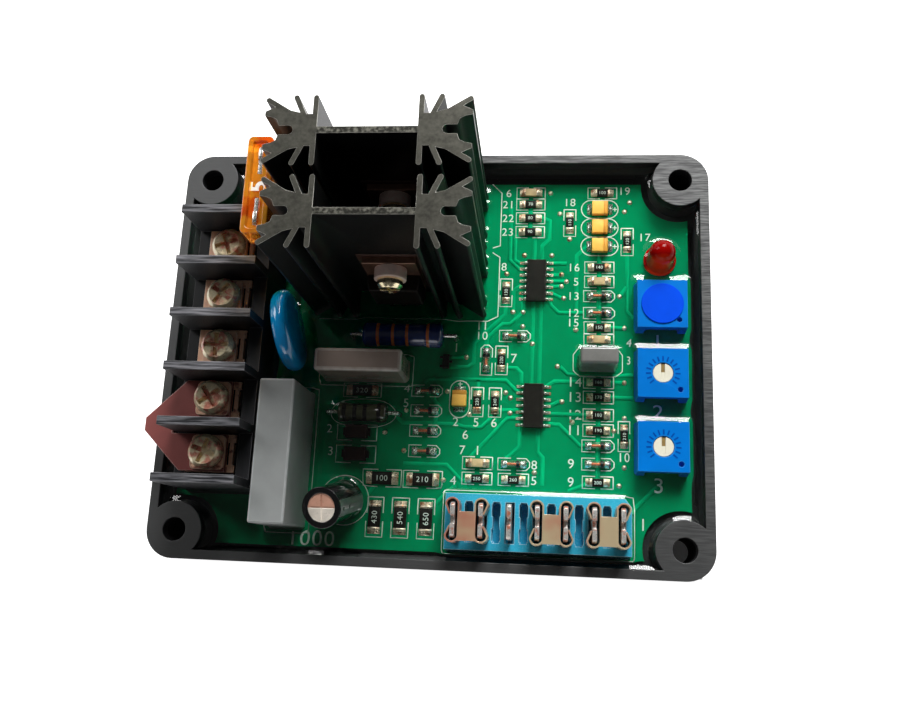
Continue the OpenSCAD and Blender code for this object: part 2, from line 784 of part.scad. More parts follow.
// Head with a sunk top over a body that narrows downwards
module fuse_body() {
  half = fuse_size.x / 2;
  head = fuse_size.z * 0.45;
  color([0.9, 0.45, 0.08]) translate([fuse_x, fuse_y, fuse_z]) difference() {
    union() {
      translate([0, 0, fuse_size.z - head]) linear_extrude(head)
        round_rect(fuse_size.y, fuse_size.x, 1);
      rotate(90) along_y(fuse_neck) polygon([[-half + 1.6, fuse_size.z - head],
        [-half + 2.2, 0], [half - 2.2, 0], [half - 1.6, fuse_size.z - head],
        [half - 1.6, fuse_size.z - 1], [-half + 1.6, fuse_size.z - 1]]);
    }
    translate([0, 0, fuse_size.z - 0.8]) linear_extrude(2)
      round_rect(fuse_size.y - 2, fuse_size.x - 2, 0.6);
    translate([-fuse_x, -fuse_y, -fuse_z]) fuse_element();
  }
}

// Two blades joined by the thin bridge that melts
module fuse_element() {
  color([0.8, 0.8, 0.78]) translate([fuse_x, fuse_y, 0]) {
    for (b = [-1, 1]) translate([0, b * blade_pitch / 2, blade_z])
      block([blade_size.y, blade_size.x, fuse_z + fuse_size.z - 0.8 - blade_z]);
    translate([0, 0, fuse_z + fuse_size.z * 0.5])
      block([blade_size.y, blade_pitch - blade_size.x + 0.4, 1]);
  }
}

// Solder pins of one fuse clip
module clip_pins(b, play) {
  y = fuse_y + b * blade_pitch / 2;
  for (e = [-1, 1]) translate([fuse_x + e * (clip_half - clip_t / 2), y, board_z])
    block([clip_t + 2 * play, 1.6 + 2 * play, board_t]);
}

// Sprung clip: a foot, two walls that close on the blade and flared lips
module fuse_clips() {
  pinch = blade_size.y / 2;
  color([0.75, 0.74, 0.7]) for (b = [-1, 1]) {
    translate([fuse_x, fuse_y + b * blade_pitch / 2, top_z]) along_y(clip_w) {
      translate([-clip_half, 0]) square([2 * clip_half, clip_t]);
      for (m = [0, 1]) mirror([m, 0]) polygon([[clip_half, 0], [clip_half, clip_h * 0.5],
        [pinch + clip_t, clip_h * 0.8], [1.6, clip_h], [1.6 - clip_t, clip_h], [pinch, clip_h * 0.82],
        [pinch, clip_h * 0.78], [clip_half - clip_t, clip_h * 0.48], [clip_half - clip_t, 0]]);
    }
    clip_pins(b, 0);
  }
}

// Varistor and film capacitors

function varistor_wires() = [for (e = [-1, 1])
  varistor_at + e * varistor_pitch / 2 * [-sin(varistor_turn), cos(varistor_turn)]];

module varistor() {
  edge = varistor_t * 0.45;
  color([0.02, 0.42, 0.68]) translate([varistor_at.x, varistor_at.y, varistor_z])
    rotate([0, 90, varistor_turn])
    rotate_extrude() {
      translate([0, -varistor_t / 2]) square([varistor_d / 2 - edge, varistor_t]);
      translate([0, edge - varistor_t / 2]) square([varistor_d / 2, varistor_t - 2 * edge]);
      for (e = [-1, 1]) translate([varistor_d / 2 - edge, e * (varistor_t / 2 - edge)]) circle(edge);
    }
}

module varistor_leads() {
  color([0.75, 0.75, 0.7]) difference() {
    for (p = varistor_wires()) wire(p, varistor_z, wire_d);
    varistor();
  }
}

function film_wires() = concat(
  [for (e = [-1, 1]) film_large_at + [0, e * film_lead_pitch[0] / 2]],
  [for (e = [-1, 1]) film_medium_at + [e * film_lead_pitch[1] / 2, 0]],
  [for (e = [-1, 1]) film_small_at + [e * film_lead_pitch[2] / 2, 0]]);

module film_blank(at, size) {
  translate([at.x, at.y, top_z]) block(size);
}

module film_capacitor_large() {
  color([0.62, 0.63, 0.63]) film_blank(film_large_at, film_large);
}

module film_capacitor_medium() {
  color([0.45, 0.38, 0.34]) film_blank(film_medium_at, film_medium);
}

module film_capacitor_small() {
  color([0.5, 0.5, 0.48]) film_blank(film_small_at, film_small);
}

module capacitor_leads() {
  color([0.75, 0.75, 0.7]) for (p = film_wires()) wire(p, top_z, wire_d);
}

// Axial resistors

function resistor_wires() = concat([for (e = [-1, 1]) power_res_at + [e * power_bend, 0]],
  [for (e = [-1, 1]) axial_res_at + [e * axial_bend, 0]]);

// Body with a slight waist between two round ends, along X
module resistor_body(size) {
  r = size.y / 2;
  end = size.y * 0.7;
  waist = r * 0.9;
  half = size.x / 2;
  rotate([0, 90, 0]) rotate_extrude()
    polygon([[0, -half], [r - 0.6, -half], [r, 0.6 - half], [r, end - half], [waist, end + 1 - half],
      [waist, half - end - 1], [r, half - end], [r, half - 0.6], [r - 0.6, half], [0, half]]);
}

module power_resistor() {
  color([0.08, 0.14, 0.3]) translate([power_res_at.x, power_res_at.y, power_res_z])
    resistor_body(power_res);
}

module axial_resistor() {
  color([0.3, 0.3, 0.15]) translate([axial_res_at.x, axial_res_at.y, axial_res_z])
    resistor_body(axial_res);
}

// Leads that leave a resistor's ends and turn down through the board
module bent_leads(at, z, body_l, bend) {
  for (e = [-1, 1]) translate([at.x, at.y, 0]) {
    translate([e > 0 ? body_l / 2 : -bend, 0, z]) rotate([0, 90, 0])
      cylinder(d = wire_d, h = bend - body_l / 2);
    translate([e * bend, 0, z]) sphere(d = wire_d);
    translate([e * bend, 0, board_z]) cylinder(d = wire_d, h = z - board_z);
  }
}

module resistor_leads() {
  color([0.75, 0.75, 0.7]) {
    bent_leads(power_res_at, power_res_z, power_res.x, power_bend);
    bent_leads(axial_res_at, axial_res_z, axial_res.x, axial_bend);
  }
}

// Electrolytic capacitor and lamp

function elco_wires() = [for (e = [-1, 1]) elco_at + [e * elco_pitch / 2, 0]];

module at_elco() {
  translate([elco_at.x, elco_at.y, elco_z]) rotate([elco_lean.x, elco_lean.y, 0]) children();
}

module elco_blank() {
  at_elco() cylinder(d = elco.x, h = elco.y);
}

module electrolytic_can() {
  color([0.8, 0.76, 0.72]) at_elco() difference() {
    cylinder(d = elco.x - 2 * sleeve_t, h = elco.y - 0.2);
    // Vent score across the top
    translate([0, 0, elco.y - 0.2]) cross_recess(elco.x * 0.6, 0.25, 0.2);
  }
}

// Printed sleeve, shrunk over the can's edge
module electrolytic_sleeve() {
  color([0.06, 0.06, 0.07]) at_elco() difference() {
    cylinder(d = elco.x, h = elco.y);
    translate([0, 0, -1]) cylinder(d = elco.x - 2 * sleeve_t, h = elco.y + 0.8);
    translate([0, 0, elco.y - 1]) cylinder(d = elco.x * 0.7, h = 2);
  }
}

module electrolytic_leads() {
  color([0.75, 0.75, 0.7]) difference() {
    for (p = elco_wires()) wire(p, elco_z + 1, wire_d);
    elco_blank();
  }
}

// Domed lens with a flange at its foot
module led_lens() {
  dome_z = led_h - led_d / 2;
  color([0.85, 0.08, 0.08]) translate([led_at.x, led_at.y, top_z]) rotate_extrude() {
    square([led_flange.x / 2, led_flange.y]);
    square([led_d / 2, dome_z]);
    intersection() {
      translate([0, dome_z]) circle(d = led_d);
      translate([0, dome_z - 0.1]) square([led_d, led_d]);
    }
  }
}

module led_wires(play, z) {
  for (e = [-1, 1]) translate([led_at.x + e * led_pitch / 2, led_at.y, board_z])
    block([led_lead + 2 * play, led_lead + 2 * play, z - board_z]);
}

module led_leads() {
  color([0.75, 0.75, 0.7]) led_wires(0, top_z);
}

// Jumper header

module base_blank() {
  l = base_size.x / 2;
  w = base_size.y / 2;
  translate([base_at.x, base_at.y, top_z]) linear_extrude(base_size.z)
    polygon([[-l, -w], [l, -w], [l, w - 1.6], [l - 1.2, w], [-l, w]]);
}

module jumper_base() {
  color([0.2, 0.68, 0.88]) difference() {
    base_blank();
    for (i = [0 : tabs - 1]) translate([tab_x(i), base_at.y, slot_floor])
      block([tab_slot.x, tab_slot.y, base_size.z]);
    for (i = [0 : tabs - 2]) translate([tab_x(i) + tab_pitch / 2, base_at.y, slot_floor + 0.5])
      relief_slot();
    for (i = [0 : tabs - 1]) translate([0, 0, 0.1]) tab_feet(i);
  }
}

// Relief between two tabs, pinched in the middle
module relief_slot() {
  block([1.2, tab_slot.y, base_size.z]);
  for (e = [-1, 1]) translate([0, e * tab_slot.y * 0.3, 0]) block([1.6, tab_slot.y * 0.3, base_size.z]);
}

// The two legs of a tab through the board
module tab_legs(i, play) {
  for (e = [-1, 1]) translate([tab_x(i), base_at.y + e * tab_leg.y, board_z])
    block([tab_size.y + 2 * play, tab_leg.x + 2 * play, board_t]);
}

// The same legs through the base's floor
module tab_feet(i) {
  for (e = [-1, 1]) translate([tab_x(i), base_at.y + e * tab_leg.y, top_z - 0.2])
    block([tab_size.y, tab_leg.x, slot_floor - top_z + 0.2]);
}

// Upright blades with chamfered tops and a notch between two prongs
module jumper_tabs() {
  w = tab_size.x / 2;
  top = top_z + tab_rise;
  color([0.8, 0.66, 0.52]) for (i = [0 : tabs - 1]) {
    difference() {
      translate([tab_x(i) - tab_size.y / 2, base_at.y, 0]) rotate([90, 0, 90])
        linear_extrude(tab_size.y) polygon([[-w, slot_floor], [w, slot_floor], [w, top - 0.7],
          [w - 0.5, top], [0.5 - w, top], [-w, top - 0.7]]);
      translate([tab_x(i), base_at.y, top - tab_notch.y]) block([2, tab_notch.x, tab_notch.y + 1]);
    }
    tab_feet(i);
    tab_legs(i, 0);
  }
}

// Plan of one gripping end: a wall beside the tab with both edges rolled round it
module rolled_end() {
  tip = tab_size.x / 2;
  wall = roll_r - link_t - 0.1;
  grip = tab_size.y / 2 + link_t / 2;
  centre = [-0.1, tip - 0.4];
  translate([wall, -centre.y]) square([link_t, 2 * centre.y]);
  for (m = [0, 1]) mirror([0, m]) {
    difference() {
      translate(centre) circle(roll_r);
      translate(centre) circle(roll_r - link_t);
      translate([-2 * roll_r, centre.y - 2 * roll_r]) square([4 * roll_r, 2 * roll_r]);
    }
    bar(centre + [link_t / 2 - roll_r, 0], [-grip, tip - 2], link_t);
  }
}

// Plug-in link over two neighbouring tabs, folded from one sheet
module jumper_link(first) {
  wall = roll_r - link_t - 0.1;
  color([0.72, 0.5, 0.42]) translate([0, base_at.y, 0]) {
    for (k = [0, 1]) translate([tab_x(first + k), 0, link_foot]) mirror([k, 0])
      linear_extrude(link_top - link_foot) rolled_end();
    translate([tab_x(first) + tab_pitch / 2, -link_plate.y, link_top - link_t])
      block([tab_pitch - 2 * wall, link_plate.x, link_t]);
  }
}

module jumper_link_1() jumper_link(0);

module jumper_link_2() jumper_link(3);

module jumper_link_3() jumper_link(5);

// Trimmers

module trimmer_blank(i) {
  translate([trim_x, trim_y[i], top_z]) block([trim_side, trim_side, trim_h]);
}

module trimmer_housing(i) {
  span = trim_side - 3;
  color([0.02, 0.45, 0.82]) difference() {
    trimmer_blank(i);
    translate([trim_x, trim_y[i], trim_top - rotor_h - rotor_sink - rotor_play])
      cylinder(d = rotor_d + 2 * rotor_play, h = rotor_h + 1);
    // Side recesses between the corner posts
    for (a = [0, 180]) translate([trim_x, trim_y[i], top_z]) rotate(a)
      translate([-span / 2, -trim_side / 2 - 1, -1]) cube([span, 1.6, trim_h - 0.6]);
    translate([trim_x + 3.2, trim_y[i] - 3.2, trim_top - 1]) cylinder(d = 1, h = 2);
  }
}

module trimmer_housing_1() trimmer_housing(0);

module trimmer_housing_2() trimmer_housing(1);

module trimmer_housing_3() trimmer_housing(2);

// Rotor with a screwdriver slot that stops short of one side
module trimmer_rotor(i) {
  color([0.92, 0.88, 0.78]) translate([trim_x, trim_y[i], trim_top - rotor_sink]) rotate(rotor_zero[i])
    difference() {
      translate([0, 0, -rotor_h]) cylinder(d = rotor_d, h = rotor_h);
      translate([-rotor_d * 0.36, -0.35, -0.8]) cube([rotor_d, 0.7, 2]);
    }
}

module trimmer_rotor_1() trimmer_rotor(0);

module trimmer_rotor_2() trimmer_rotor(1);

module trimmer_rotor_3() trimmer_rotor(2);

module trimmer_wires(i, play) {
  for (p = trim_pins) wire([trim_x + p.x, trim_y[i] + p.y], top_z, trim_pin_d + 2 * play);
}

module trimmer_pins() {
  color([0.75, 0.75, 0.7]) for (i = [0 : 2]) trimmer_wires(i, 0);
}

module trimmer_seal() {
  color([0.02, 0.28, 0.85]) translate([trim_x, trim_y[0], trim_top])
    cylinder(d = trim_side - 1.5, h = seal_t);
}

// Surface-mounted parts

module at_ics() {
  for (p = ic_at) translate(concat(on_plan(p.x, p.y), top_z)) children();
}

module ic_bodies() {
  half = ic_size.x / 2;
  mid = ic_lift + ic_size.z / 2;
  top = ic_lift + ic_size.z;
  color([0.12, 0.12, 0.12]) at_ics() along_y(ic_size.y)
    polygon([[-half + 0.1, ic_lift], [half - 0.1, ic_lift], [half, mid], [half - 0.15, top],
      [-half + 0.15, top], [-half, mid]]);
}

// Gull-wing leads, seven each side
module ic_leads() {
  half = ic_size.x / 2;
  mid = ic_lift + ic_size.z / 2;
  color([0.75, 0.75, 0.72]) at_ics() for (m = [0, 1], k = [-3 : 3]) mirror([m, 0, 0])
    translate([0, k * ic_pitch, 0]) along_y(0.42)
      polygon([[half, mid], [half - 0.02, mid - 0.2], [half + 0.3, mid - 0.2], [half + 0.45, 0],
        [half + ic_reach, 0], [half + ic_reach, 0.2], [half + 0.62, 0.2], [half + 0.45, mid]]);
}

// Chip with wrapped metal ends a little thicker than its body
module chip(size) {
  end = 0.5;
  block([size.x - 0.2, size.y - 0.1, size.z - 0.05]);
  for (e = [-1, 1]) translate([e * (size.x - end) / 2, 0, 0]) block([end, size.y, size.z]);
}

module chip_resistors() {
  color([0.14, 0.13, 0.13]) on_board(chip_at) chip(chip_size);
}

module power_chip_resistors() {
  color([0.1, 0.1, 0.1]) on_board(power_chip_at) chip(power_chip_size);
}

module ceramic_capacitors() {
  color([0.72, 0.6, 0.45]) on_board(ceramic_at) chip(ceramic_size);
}

// Moulded body on two folded end plates
module tantalum_capacitors() {
  color([0.92, 0.68, 0.15]) on_board(tantalum_at) {
    translate([0, 0, 0.15]) block([tantalum_size.x - 0.4, tantalum_size.y, tantalum_size.z - 0.15]);
    for (e = [-1, 1]) translate([e * (tantalum_size.x / 2 - 0.4), 0, 0]) block([0.8, 2.2, 1.2]);
  }
}

// Glass tubes with metal end caps, lying on the board
module glass_diodes() {
  cap = 0.4;
  color([0.75, 0.35, 0.2]) on_board(diode_at) translate([0, 0, diode_size.y / 2]) rotate([0, 90, 0]) {
    translate([0, 0, 0.1 - diode_size.x / 2]) cylinder(d = diode_size.y - 0.1, h = diode_size.x - 0.2);
    for (e = [0, 1]) translate([0, 0, e * (diode_size.x - cap) - diode_size.x / 2])
      cylinder(d = diode_size.y, h = cap);
  }
}

module rectifier_diodes() {
  color([0.1, 0.1, 0.1]) on_board(rectifier_at) {
    translate([0, 0, 0.1]) block([rectifier_size.x, rectifier_size.y, rectifier_size.z - 0.1]);
    for (e = [-1, 1]) translate([e * rectifier_size.x / 2, 0, 0]) block(rectifier_foot);
  }
}

module small_transistor() {
  color([0.1, 0.1, 0.1]) on_board([transistor_at]) {
    translate([0, 0, 0.1]) block([transistor_size.x, transistor_size.y, transistor_size.z]);
    for (p = [[-1, -0.95], [-1, 0.95], [1, 0]])
      translate([p.x * (transistor_span / 2 - 0.35), p.y, 0]) block([0.7, 0.45, 0.5]);
  }
}

tray();
circuit_board();
potting_resin();
terminal_block();
terminal_plates();
terminal_washers();
terminal_screws();
terminal_link();
heatsink_front();
heatsink_rear();
heatsink_pins();
front_device_case();
front_device_tab();
rear_device_case();
rear_device_tab();
device_leads();
insulating_pads();
insulating_bushes();
device_screws();
device_nuts();
fuse_body();
fuse_element();
fuse_clips();
varistor();
varistor_leads();
film_capacitor_large();
film_capacitor_medium();
film_capacitor_small();
capacitor_leads();
power_resistor();
axial_resistor();
resistor_leads();
electrolytic_can();
electrolytic_sleeve();
electrolytic_leads();
jumper_base();
jumper_tabs();
jumper_link_1();
jumper_link_2();
jumper_link_3();
trimmer_housing_1();
trimmer_housing_2();
trimmer_housing_3();
trimmer_rotor_1();
trimmer_rotor_2();
trimmer_rotor_3();
trimmer_pins();
trimmer_seal();
led_lens();
led_leads();
ic_bodies();
ic_leads();
chip_resistors();
power_chip_resistors();
ceramic_capacitors();
tantalum_capacitors();
glass_diodes();
rectifier_diodes();
small_transistor();
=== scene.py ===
"""Looks of a potted voltage regulator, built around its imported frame. All lengths are in metres."""

import json
import math
from functools import cache

import bmesh
import bpy
import numpy as np
from bpy.props import FloatProperty, FloatVectorProperty, IntProperty, PointerProperty
from mathutils import Matrix, Vector, noise
from mathutils.bvhtree import BVHTree


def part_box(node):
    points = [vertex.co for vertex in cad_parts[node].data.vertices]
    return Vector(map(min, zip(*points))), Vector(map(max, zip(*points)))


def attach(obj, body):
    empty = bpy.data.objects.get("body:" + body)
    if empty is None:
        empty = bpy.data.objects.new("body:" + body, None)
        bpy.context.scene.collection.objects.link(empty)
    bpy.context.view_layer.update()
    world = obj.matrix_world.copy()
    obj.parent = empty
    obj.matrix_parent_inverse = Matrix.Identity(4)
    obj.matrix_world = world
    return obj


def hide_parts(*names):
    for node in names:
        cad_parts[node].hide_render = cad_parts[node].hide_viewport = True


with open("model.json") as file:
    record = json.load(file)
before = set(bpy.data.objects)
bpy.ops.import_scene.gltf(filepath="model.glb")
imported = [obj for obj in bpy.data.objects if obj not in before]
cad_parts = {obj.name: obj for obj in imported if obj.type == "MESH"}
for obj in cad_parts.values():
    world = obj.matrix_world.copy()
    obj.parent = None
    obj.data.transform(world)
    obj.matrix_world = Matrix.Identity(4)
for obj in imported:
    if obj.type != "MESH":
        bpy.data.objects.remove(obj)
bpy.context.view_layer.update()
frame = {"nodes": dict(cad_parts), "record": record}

bl_info = {
    "name": "Voltage regulator",
    "version": (1, 0, 0),
    "blender": (4, 5, 0),
    "location": "View3D > Sidebar > Regulator",
    "description": "Dresses the solids of a potted voltage regulator",
    "category": "Object",
}

MM = 0.001
BODY = "regulator"
ROTOR_BODIES = (BODY, "second_rotor", "third_rotor")
BOARD_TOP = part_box("circuit_board")[1].z
INK_LEVEL = BOARD_TOP + 0.05 * MM
RESIN_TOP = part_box("potting_resin")[1].z
RIM_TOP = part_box("tray")[1].z
SINK_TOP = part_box("heatsink_front")[1].z
FIN_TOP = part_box("terminal_block")[1].z
HOLES = next(m for m in frame["record"]["mounts"] if m["name"] == "fixing_holes")["dims"]

# The photograph's camera: where it stands, its turn in degrees and its lens in millimetres
CAMERA_AT = (0.022379, -0.0411, 0.180857)
CAMERA_TURN = (13.3456, 5.7033, 2.5687)
CAMERA_LENS = 35.92
SENSOR_WIDTH = 36.0

# Lamps: turn from the back to the right and rise in degrees, then distance and size
LAMPS = {
    "key": (14, 37, 0.8, (0.32, 0.4)),
    "second": (-54, 38, 0.8, (0.3, 0.3)),
    "fill": (190, 20, 0.8, (0.3, 0.3)),
    "window": (9, 50, 0.6, (0.5, 0.17)),
}

SINKS = ("heatsink_front", "heatsink_rear")
# Half the length and half the width of a heat sink's web, with room for its fillets
WEB_HALF_LENGTH = 8.4 * MM
WEB_HALF_WIDTH = 1 * MM
# The floor lies just under the tray, and the tray, with the painted shadow under it, reaches this far past
# its fixing holes
FLOOR_DROP = 0.4 * MM
FOOT_MARGIN = 5 * MM

# Copper tracks on the board's half-millimetre grid
TRACKS = [
    [(19.5, 12), (19.5, -5)],
    [(21, 12), (21, -5)],
    [(22.5, 12.5), (23, 11), (24.5, 9.5), (29.5, 9.5)],
    [(14, 11), (14, 9), (10.5, 5.5), (10.5, 2)],
    [(17.5, 13), (17.5, 9.5), (15, 7), (13.5, 7), (10.5, 4)],
    [(6.5, 0), (3.5, 0)],
    [(3.5, -2), (7, -2), (8, -1), (8, 3), (12.5, 7.5)],
    [(14.5, -2), (16.5, -2), (17.5, -3), (17.5, -5)],
    [(-1.5, -5.5), (-1, -4.5), (14.5, -4.5), (17, -7)],
    [(-7, -12), (-5.5, -13.5), (5, -13.5), (6.5, -14), (10, -14), (13.5, -10.5), (17, -10.5)],
    [(8, -20), (15, -12), (17, -12)],
    [(17.5, -13.5), (17.5, -17.5), (15, -20)],
    [(21, -14), (21, -18.5), (22, -19.5), (22, -25)],
    [(22.5, -5.5), (24, -4.5), (30.5, -4.5)],
    [(23, -9.5), (25, -8.5)],
    [(23, -11), (30.5, -11)],
    [(23, -13), (25, -13), (29, -17), (30.5, -17)],
    [(32.5, -11), (32.5, -23), (31.5, -24)],
    [(34.5, -7.5), (39.5, -7.5)],
    [(34.5, -4.5), (37.5, -4.5)],
    [(25, -1.5), (26.5, -3), (39.5, -3)],
    [(-5, -21.5), (3.5, -21.5), (6.5, -24.5), (8, -24.5)],
    [(14.5, 32), (14.5, 20.5), (16.5, 18.5), (17, 18.5)],
    [(15.5, 26), (15.5, 20.5), (16.5, 19.8), (17, 19.8)],
    [(19.5, 25.5), (19.5, 20)],
    [(20, 30), (22.5, 29), (22.5, 25), (21, 23.5), (21, 20)],
    [(23, 19.8), (26, 19.8)],
    [(30, 23.5), (28, 21.5), (28, 10)],
    [(15.5, 9.5), (15.5, 14), (17, 15)],
    [(38, 22.5), (38, 10), (39.5, 8.5)],
    [(38, 15), (36.5, 13)],
    [(34.5, 6.5), (37.5, 6.5)],
    [(23, 13.5), (25, 12.5)],
    [(23, 16), (26, 16)],
    [(23, 14.8), (25, 15)],
    [(23, 17.3), (24.5, 17.3)],
    [(32.5, 35), (32.5, 5)],
    [(18.5, 35), (18.5, 26.5)],
    [(38, -30), (43.5, -24.5)],
    [(2, -29), (5.5, -25.5)],
    [(9, -7), (9, -4.5)],
    [(12.5, -11), (12.5, -13.5)],
    [(-1, -7), (1.5, -10), (0.5, -15)],
    [(-9, -24.5), (-12, -28)],
    [(27, -26), (31, -24)],
]

# Tinned through-contacts on the same grid
VIAS = [
    (22.5, 35), (38.5, 33), (37.5, 31), (24.5, 30.5), (26.5, 25), (17.5, 21.5), (23, 21.5),
    (25, 17.5), (26, 16), (25, 15), (25.5, 12.5), (36.5, 13), (14, 17.5), (15.5, 9.5), (17.5, 9.5),
    (17.5, 6.5), (28, 6), (37.5, 6.5), (19.5, 3), (6.5, 0), (24.5, -1.5), (37.5, -4.5), (25.5, -8.5),
    (15.5, -8), (15.5, -11), (27.5, -12.5), (35.5, -14), (14.5, -7), (3, -7), (-5, -11), (7.5, -11.5),
    (37.5, -11.5), (37.5, -21), (20.5, -22.5), (36.5, -24.5), (-5, -19), (-9, -15.5), (3, -24.5),
]

# Printed line round the foot of the heat sinks
SINK_OUTLINE = [
    [(10.5, 37), (12.5, 35), (12.5, 23.5), (11, 23)],
    [(11, 22), (12.5, 21), (12.5, 8.5), (10.5, 7.5), (-24, 7.5)],
]

# Plain numbers printed on the board: number, X, Y and height in millimetres
PRINTED = [
    (6, 14, 35, 1.6), (21, 14, 32.5, 1.6), (22, 14, 29.5, 1.6), (23, 14, 26.5, 1.6), (8, 13.5, 19, 1.6),
    (18, 26.5, 33, 1.6), (19, 37.5, 35.5, 1.6), (17, 41.5, 25.5, 1.6), (16, 27.5, 19, 1.6),
    (5, 28, 16, 1.6), (13, 27.5, 13, 1.6), (12, 27.5, 9.5, 1.6), (15, 27.5, 7.5, 1.6), (4, 38.5, 3.5, 1.6),
    (3, 38.5, 0, 1.6), (1, 4.5, 2, 1.8), (11, 9.5, 6.5, 1.6), (10, 9.5, 4.5, 1.6), (14, 28, -4.5, 1.9),
    (13, 28, -7.5, 1.9), (12, 28, -11, 1.9), (11, 28, -14, 1.9), (7, 16, 0, 1.8), (5, 9, -13, 1.7),
    (6, 12.5, -13, 1.7), (2, 5, -13, 1.7), (6, 7, -15.5, 1.7), (7, 6.5, -18.5, 1.7), (1, 9.5, -18.5, 1.7),
    (8, 20.5, -21, 1.7), (9, 27.5, -20.5, 1.8), (4, 5, -24.5, 1.7), (5, 20.5, -24, 1.7), (9, 27.5, -24, 1.8),
    (10, 37.5, -19, 1.7), (2, -20, -15, 1.7), (3, -19.5, -19.5, 1.7), (4, -5, -6.5, 1.7), (5, -5, -9.5, 1.7),
    (1, 44, 4, 3), (2, 44, -10, 3), (3, 44, -24, 3), (1, 41, -31.5, 2.2), (1000, -22, -36.5, 3),
]


def srgb(red, green, blue):
    """A colour read as 0 to 255 on a screen, in the linear values that materials take."""
    return tuple(
        v / 12.92 if v <= 0.04045 else ((v + 0.055) / 1.055) ** 2.4
        for v in (red / 255, green / 255, blue / 255)
    )


def colour_property(title, text, value):
    """A colour that a user may change."""
    return FloatVectorProperty(
        name=title, description=text, subtype="COLOR", size=3, min=0, max=1, default=srgb(*value)
    )


def length_property(title, text, value):
    """A length that a user may change."""
    kind = {"subtype": "DISTANCE", "unit": "LENGTH"}
    return FloatProperty(name=title, description=text, min=0, default=value, **kind)


def power_property(title, text, value):
    """A lamp's power that a user may change."""
    return FloatProperty(name=title, description=text, unit="POWER", min=0, default=value)


class RegulatorBoardSettings(bpy.types.PropertyGroup):
    """Sizes and colours of the board and what is printed on it."""

    mask: colour_property("Mask", "Solder mask over bare board", (0, 126, 80))
    track: colour_property("Track", "Solder mask over copper", (2, 156, 102))
    ink: colour_property("Ink", "Printed lines and numbers", (206, 216, 206))
    track_width: length_property("Track width", "Width of a copper track", 0.85 * MM)
    line_width: length_property("Line width", "Width of a printed line", 0.2 * MM)
    via_size: length_property("Via size", "Diameter of a tinned through-contact", 1.05 * MM)


class RegulatorResinSettings(bpy.types.PropertyGroup):
    """Shape of the clear resin's surface."""

    climb: length_property("Climb", "How far the resin climbs a wall", 0.64 * MM)
    reach: length_property("Reach", "How far from a wall the climb starts", 2.6 * MM)
    step: length_property("Step", "Spacing of the surface's points", 0.34 * MM)


class RegulatorPlasticSettings(bpy.types.PropertyGroup):
    """Colours of moulded and coated parts, and the marks moulded on the trimmers."""

    tray: colour_property("Tray", "Moulded tray", (26, 26, 28))
    block: colour_property("Terminal block", "Moulded terminal block", (20, 21, 25))
    header: colour_property("Header", "Moulded jumper base", (54, 174, 208))
    trimmer: colour_property("Trimmers", "Moulded trimmer housings", (0, 120, 214))
    seal: colour_property("Seal", "Round seal on the first trimmer", (0, 80, 236))
    rotor: colour_property("Rotors", "Trimmer rotors", (240, 236, 214))
    fuse: colour_property("Fuse", "Translucent fuse body", (255, 172, 44))
    varistor: colour_property("Varistor", "Dipped disc", (6, 158, 232))
    film: colour_property("Large capacitor", "Case of the large film capacitor", (152, 155, 154))
    lamp: colour_property("Lamp", "Tinted lens", (138, 5, 4))
    dial_ticks: IntProperty(name="Dial ticks", description="Marks round a trimmer's rotor", min=2, default=15)


class RegulatorMetalSettings(bpy.types.PropertyGroup):
    """Colours of bare and plated metal."""

    plate: colour_property("Plates", "Plated terminal strip", (250, 202, 170))
    screw: colour_property("Screws", "Passivated screws", (246, 230, 190))
    link: colour_property("Terminal link", "Dull copper link", (138, 74, 70))
    jumper: colour_property("Jumper links", "Folded jumper links", (208, 188, 150))
    tin: colour_property("Tin", "Tinned leads and solder", (206, 204, 198))
    anodised: colour_property("Anodised", "Black anodised aluminium", (13, 13, 13))
    sawn: colour_property("Sawn ends", "Bare cut ends of the heat sinks", (78, 77, 70))


class RegulatorStageSettings(bpy.types.PropertyGroup):
    """Light round the object."""

    key: power_property("Key", "Power of the lamp at the back right", 8.8)
    second: power_property("Second", "Power of the lamp at the back left", 1.8)
    fill: power_property("Fill", "Power of the low lamp at the front", 0.4)
    window: power_property("Window", "Power of the dim high window", 0.16)
    sky: FloatProperty(name="Sky", description="Strength of the even light", min=0, default=0.06)
    floor: colour_property("Floor", "Floor and backdrop", (236, 236, 236))


SETTINGS = {
    "regulator_board": RegulatorBoardSettings,
    "regulator_resin": RegulatorResinSettings,
    "regulator_plastic": RegulatorPlasticSettings,
    "regulator_metal": RegulatorMetalSettings,
    "regulator_stage": RegulatorStageSettings,
}


# Node trees


def put(tree, kind, inputs=None, **settings):
    """Adds a node, sets it up and joins or fills its inputs."""
    node = tree.nodes.new(kind)
    for key, value in settings.items():
        setattr(node, key, value)
    for key, value in (inputs or {}).items():
        if isinstance(value, bpy.types.NodeSocket):
            tree.links.new(value, node.inputs[key])
        else:
            node.inputs[key].default_value = value
    return node


def maths(tree, operation, first, second=0.0):
    """The result of one sum on values or sockets."""
    return put(tree, "ShaderNodeMath", {0: first, 1: second}, operation=operation).outputs[0]


def blend_colours(tree, factor, first, second, way="MIX"):
    """A colour between two others, each a socket or three numbers."""
    node = put(tree, "ShaderNodeMix", data_type="RGBA", blend_type=way)
    for socket, value in zip((node.inputs[0], node.inputs[6], node.inputs[7]), (factor, first, second)):
        if isinstance(value, bpy.types.NodeSocket):
            tree.links.new(value, socket)
        else:
            socket.default_value = value if isinstance(value, float) else (*value, 1.0)
    return node.outputs[2]


def times(tree, first, second):
    """The product of two values or sockets."""
    return maths(tree, "MULTIPLY", first, second)


def within(tree, value, middle, half):
    """1 where a value is less than half away from a middle, and else 0."""
    away = maths(tree, "ABSOLUTE", maths(tree, "SUBTRACT", value, middle))
    return maths(tree, "LESS_THAN", away, half)


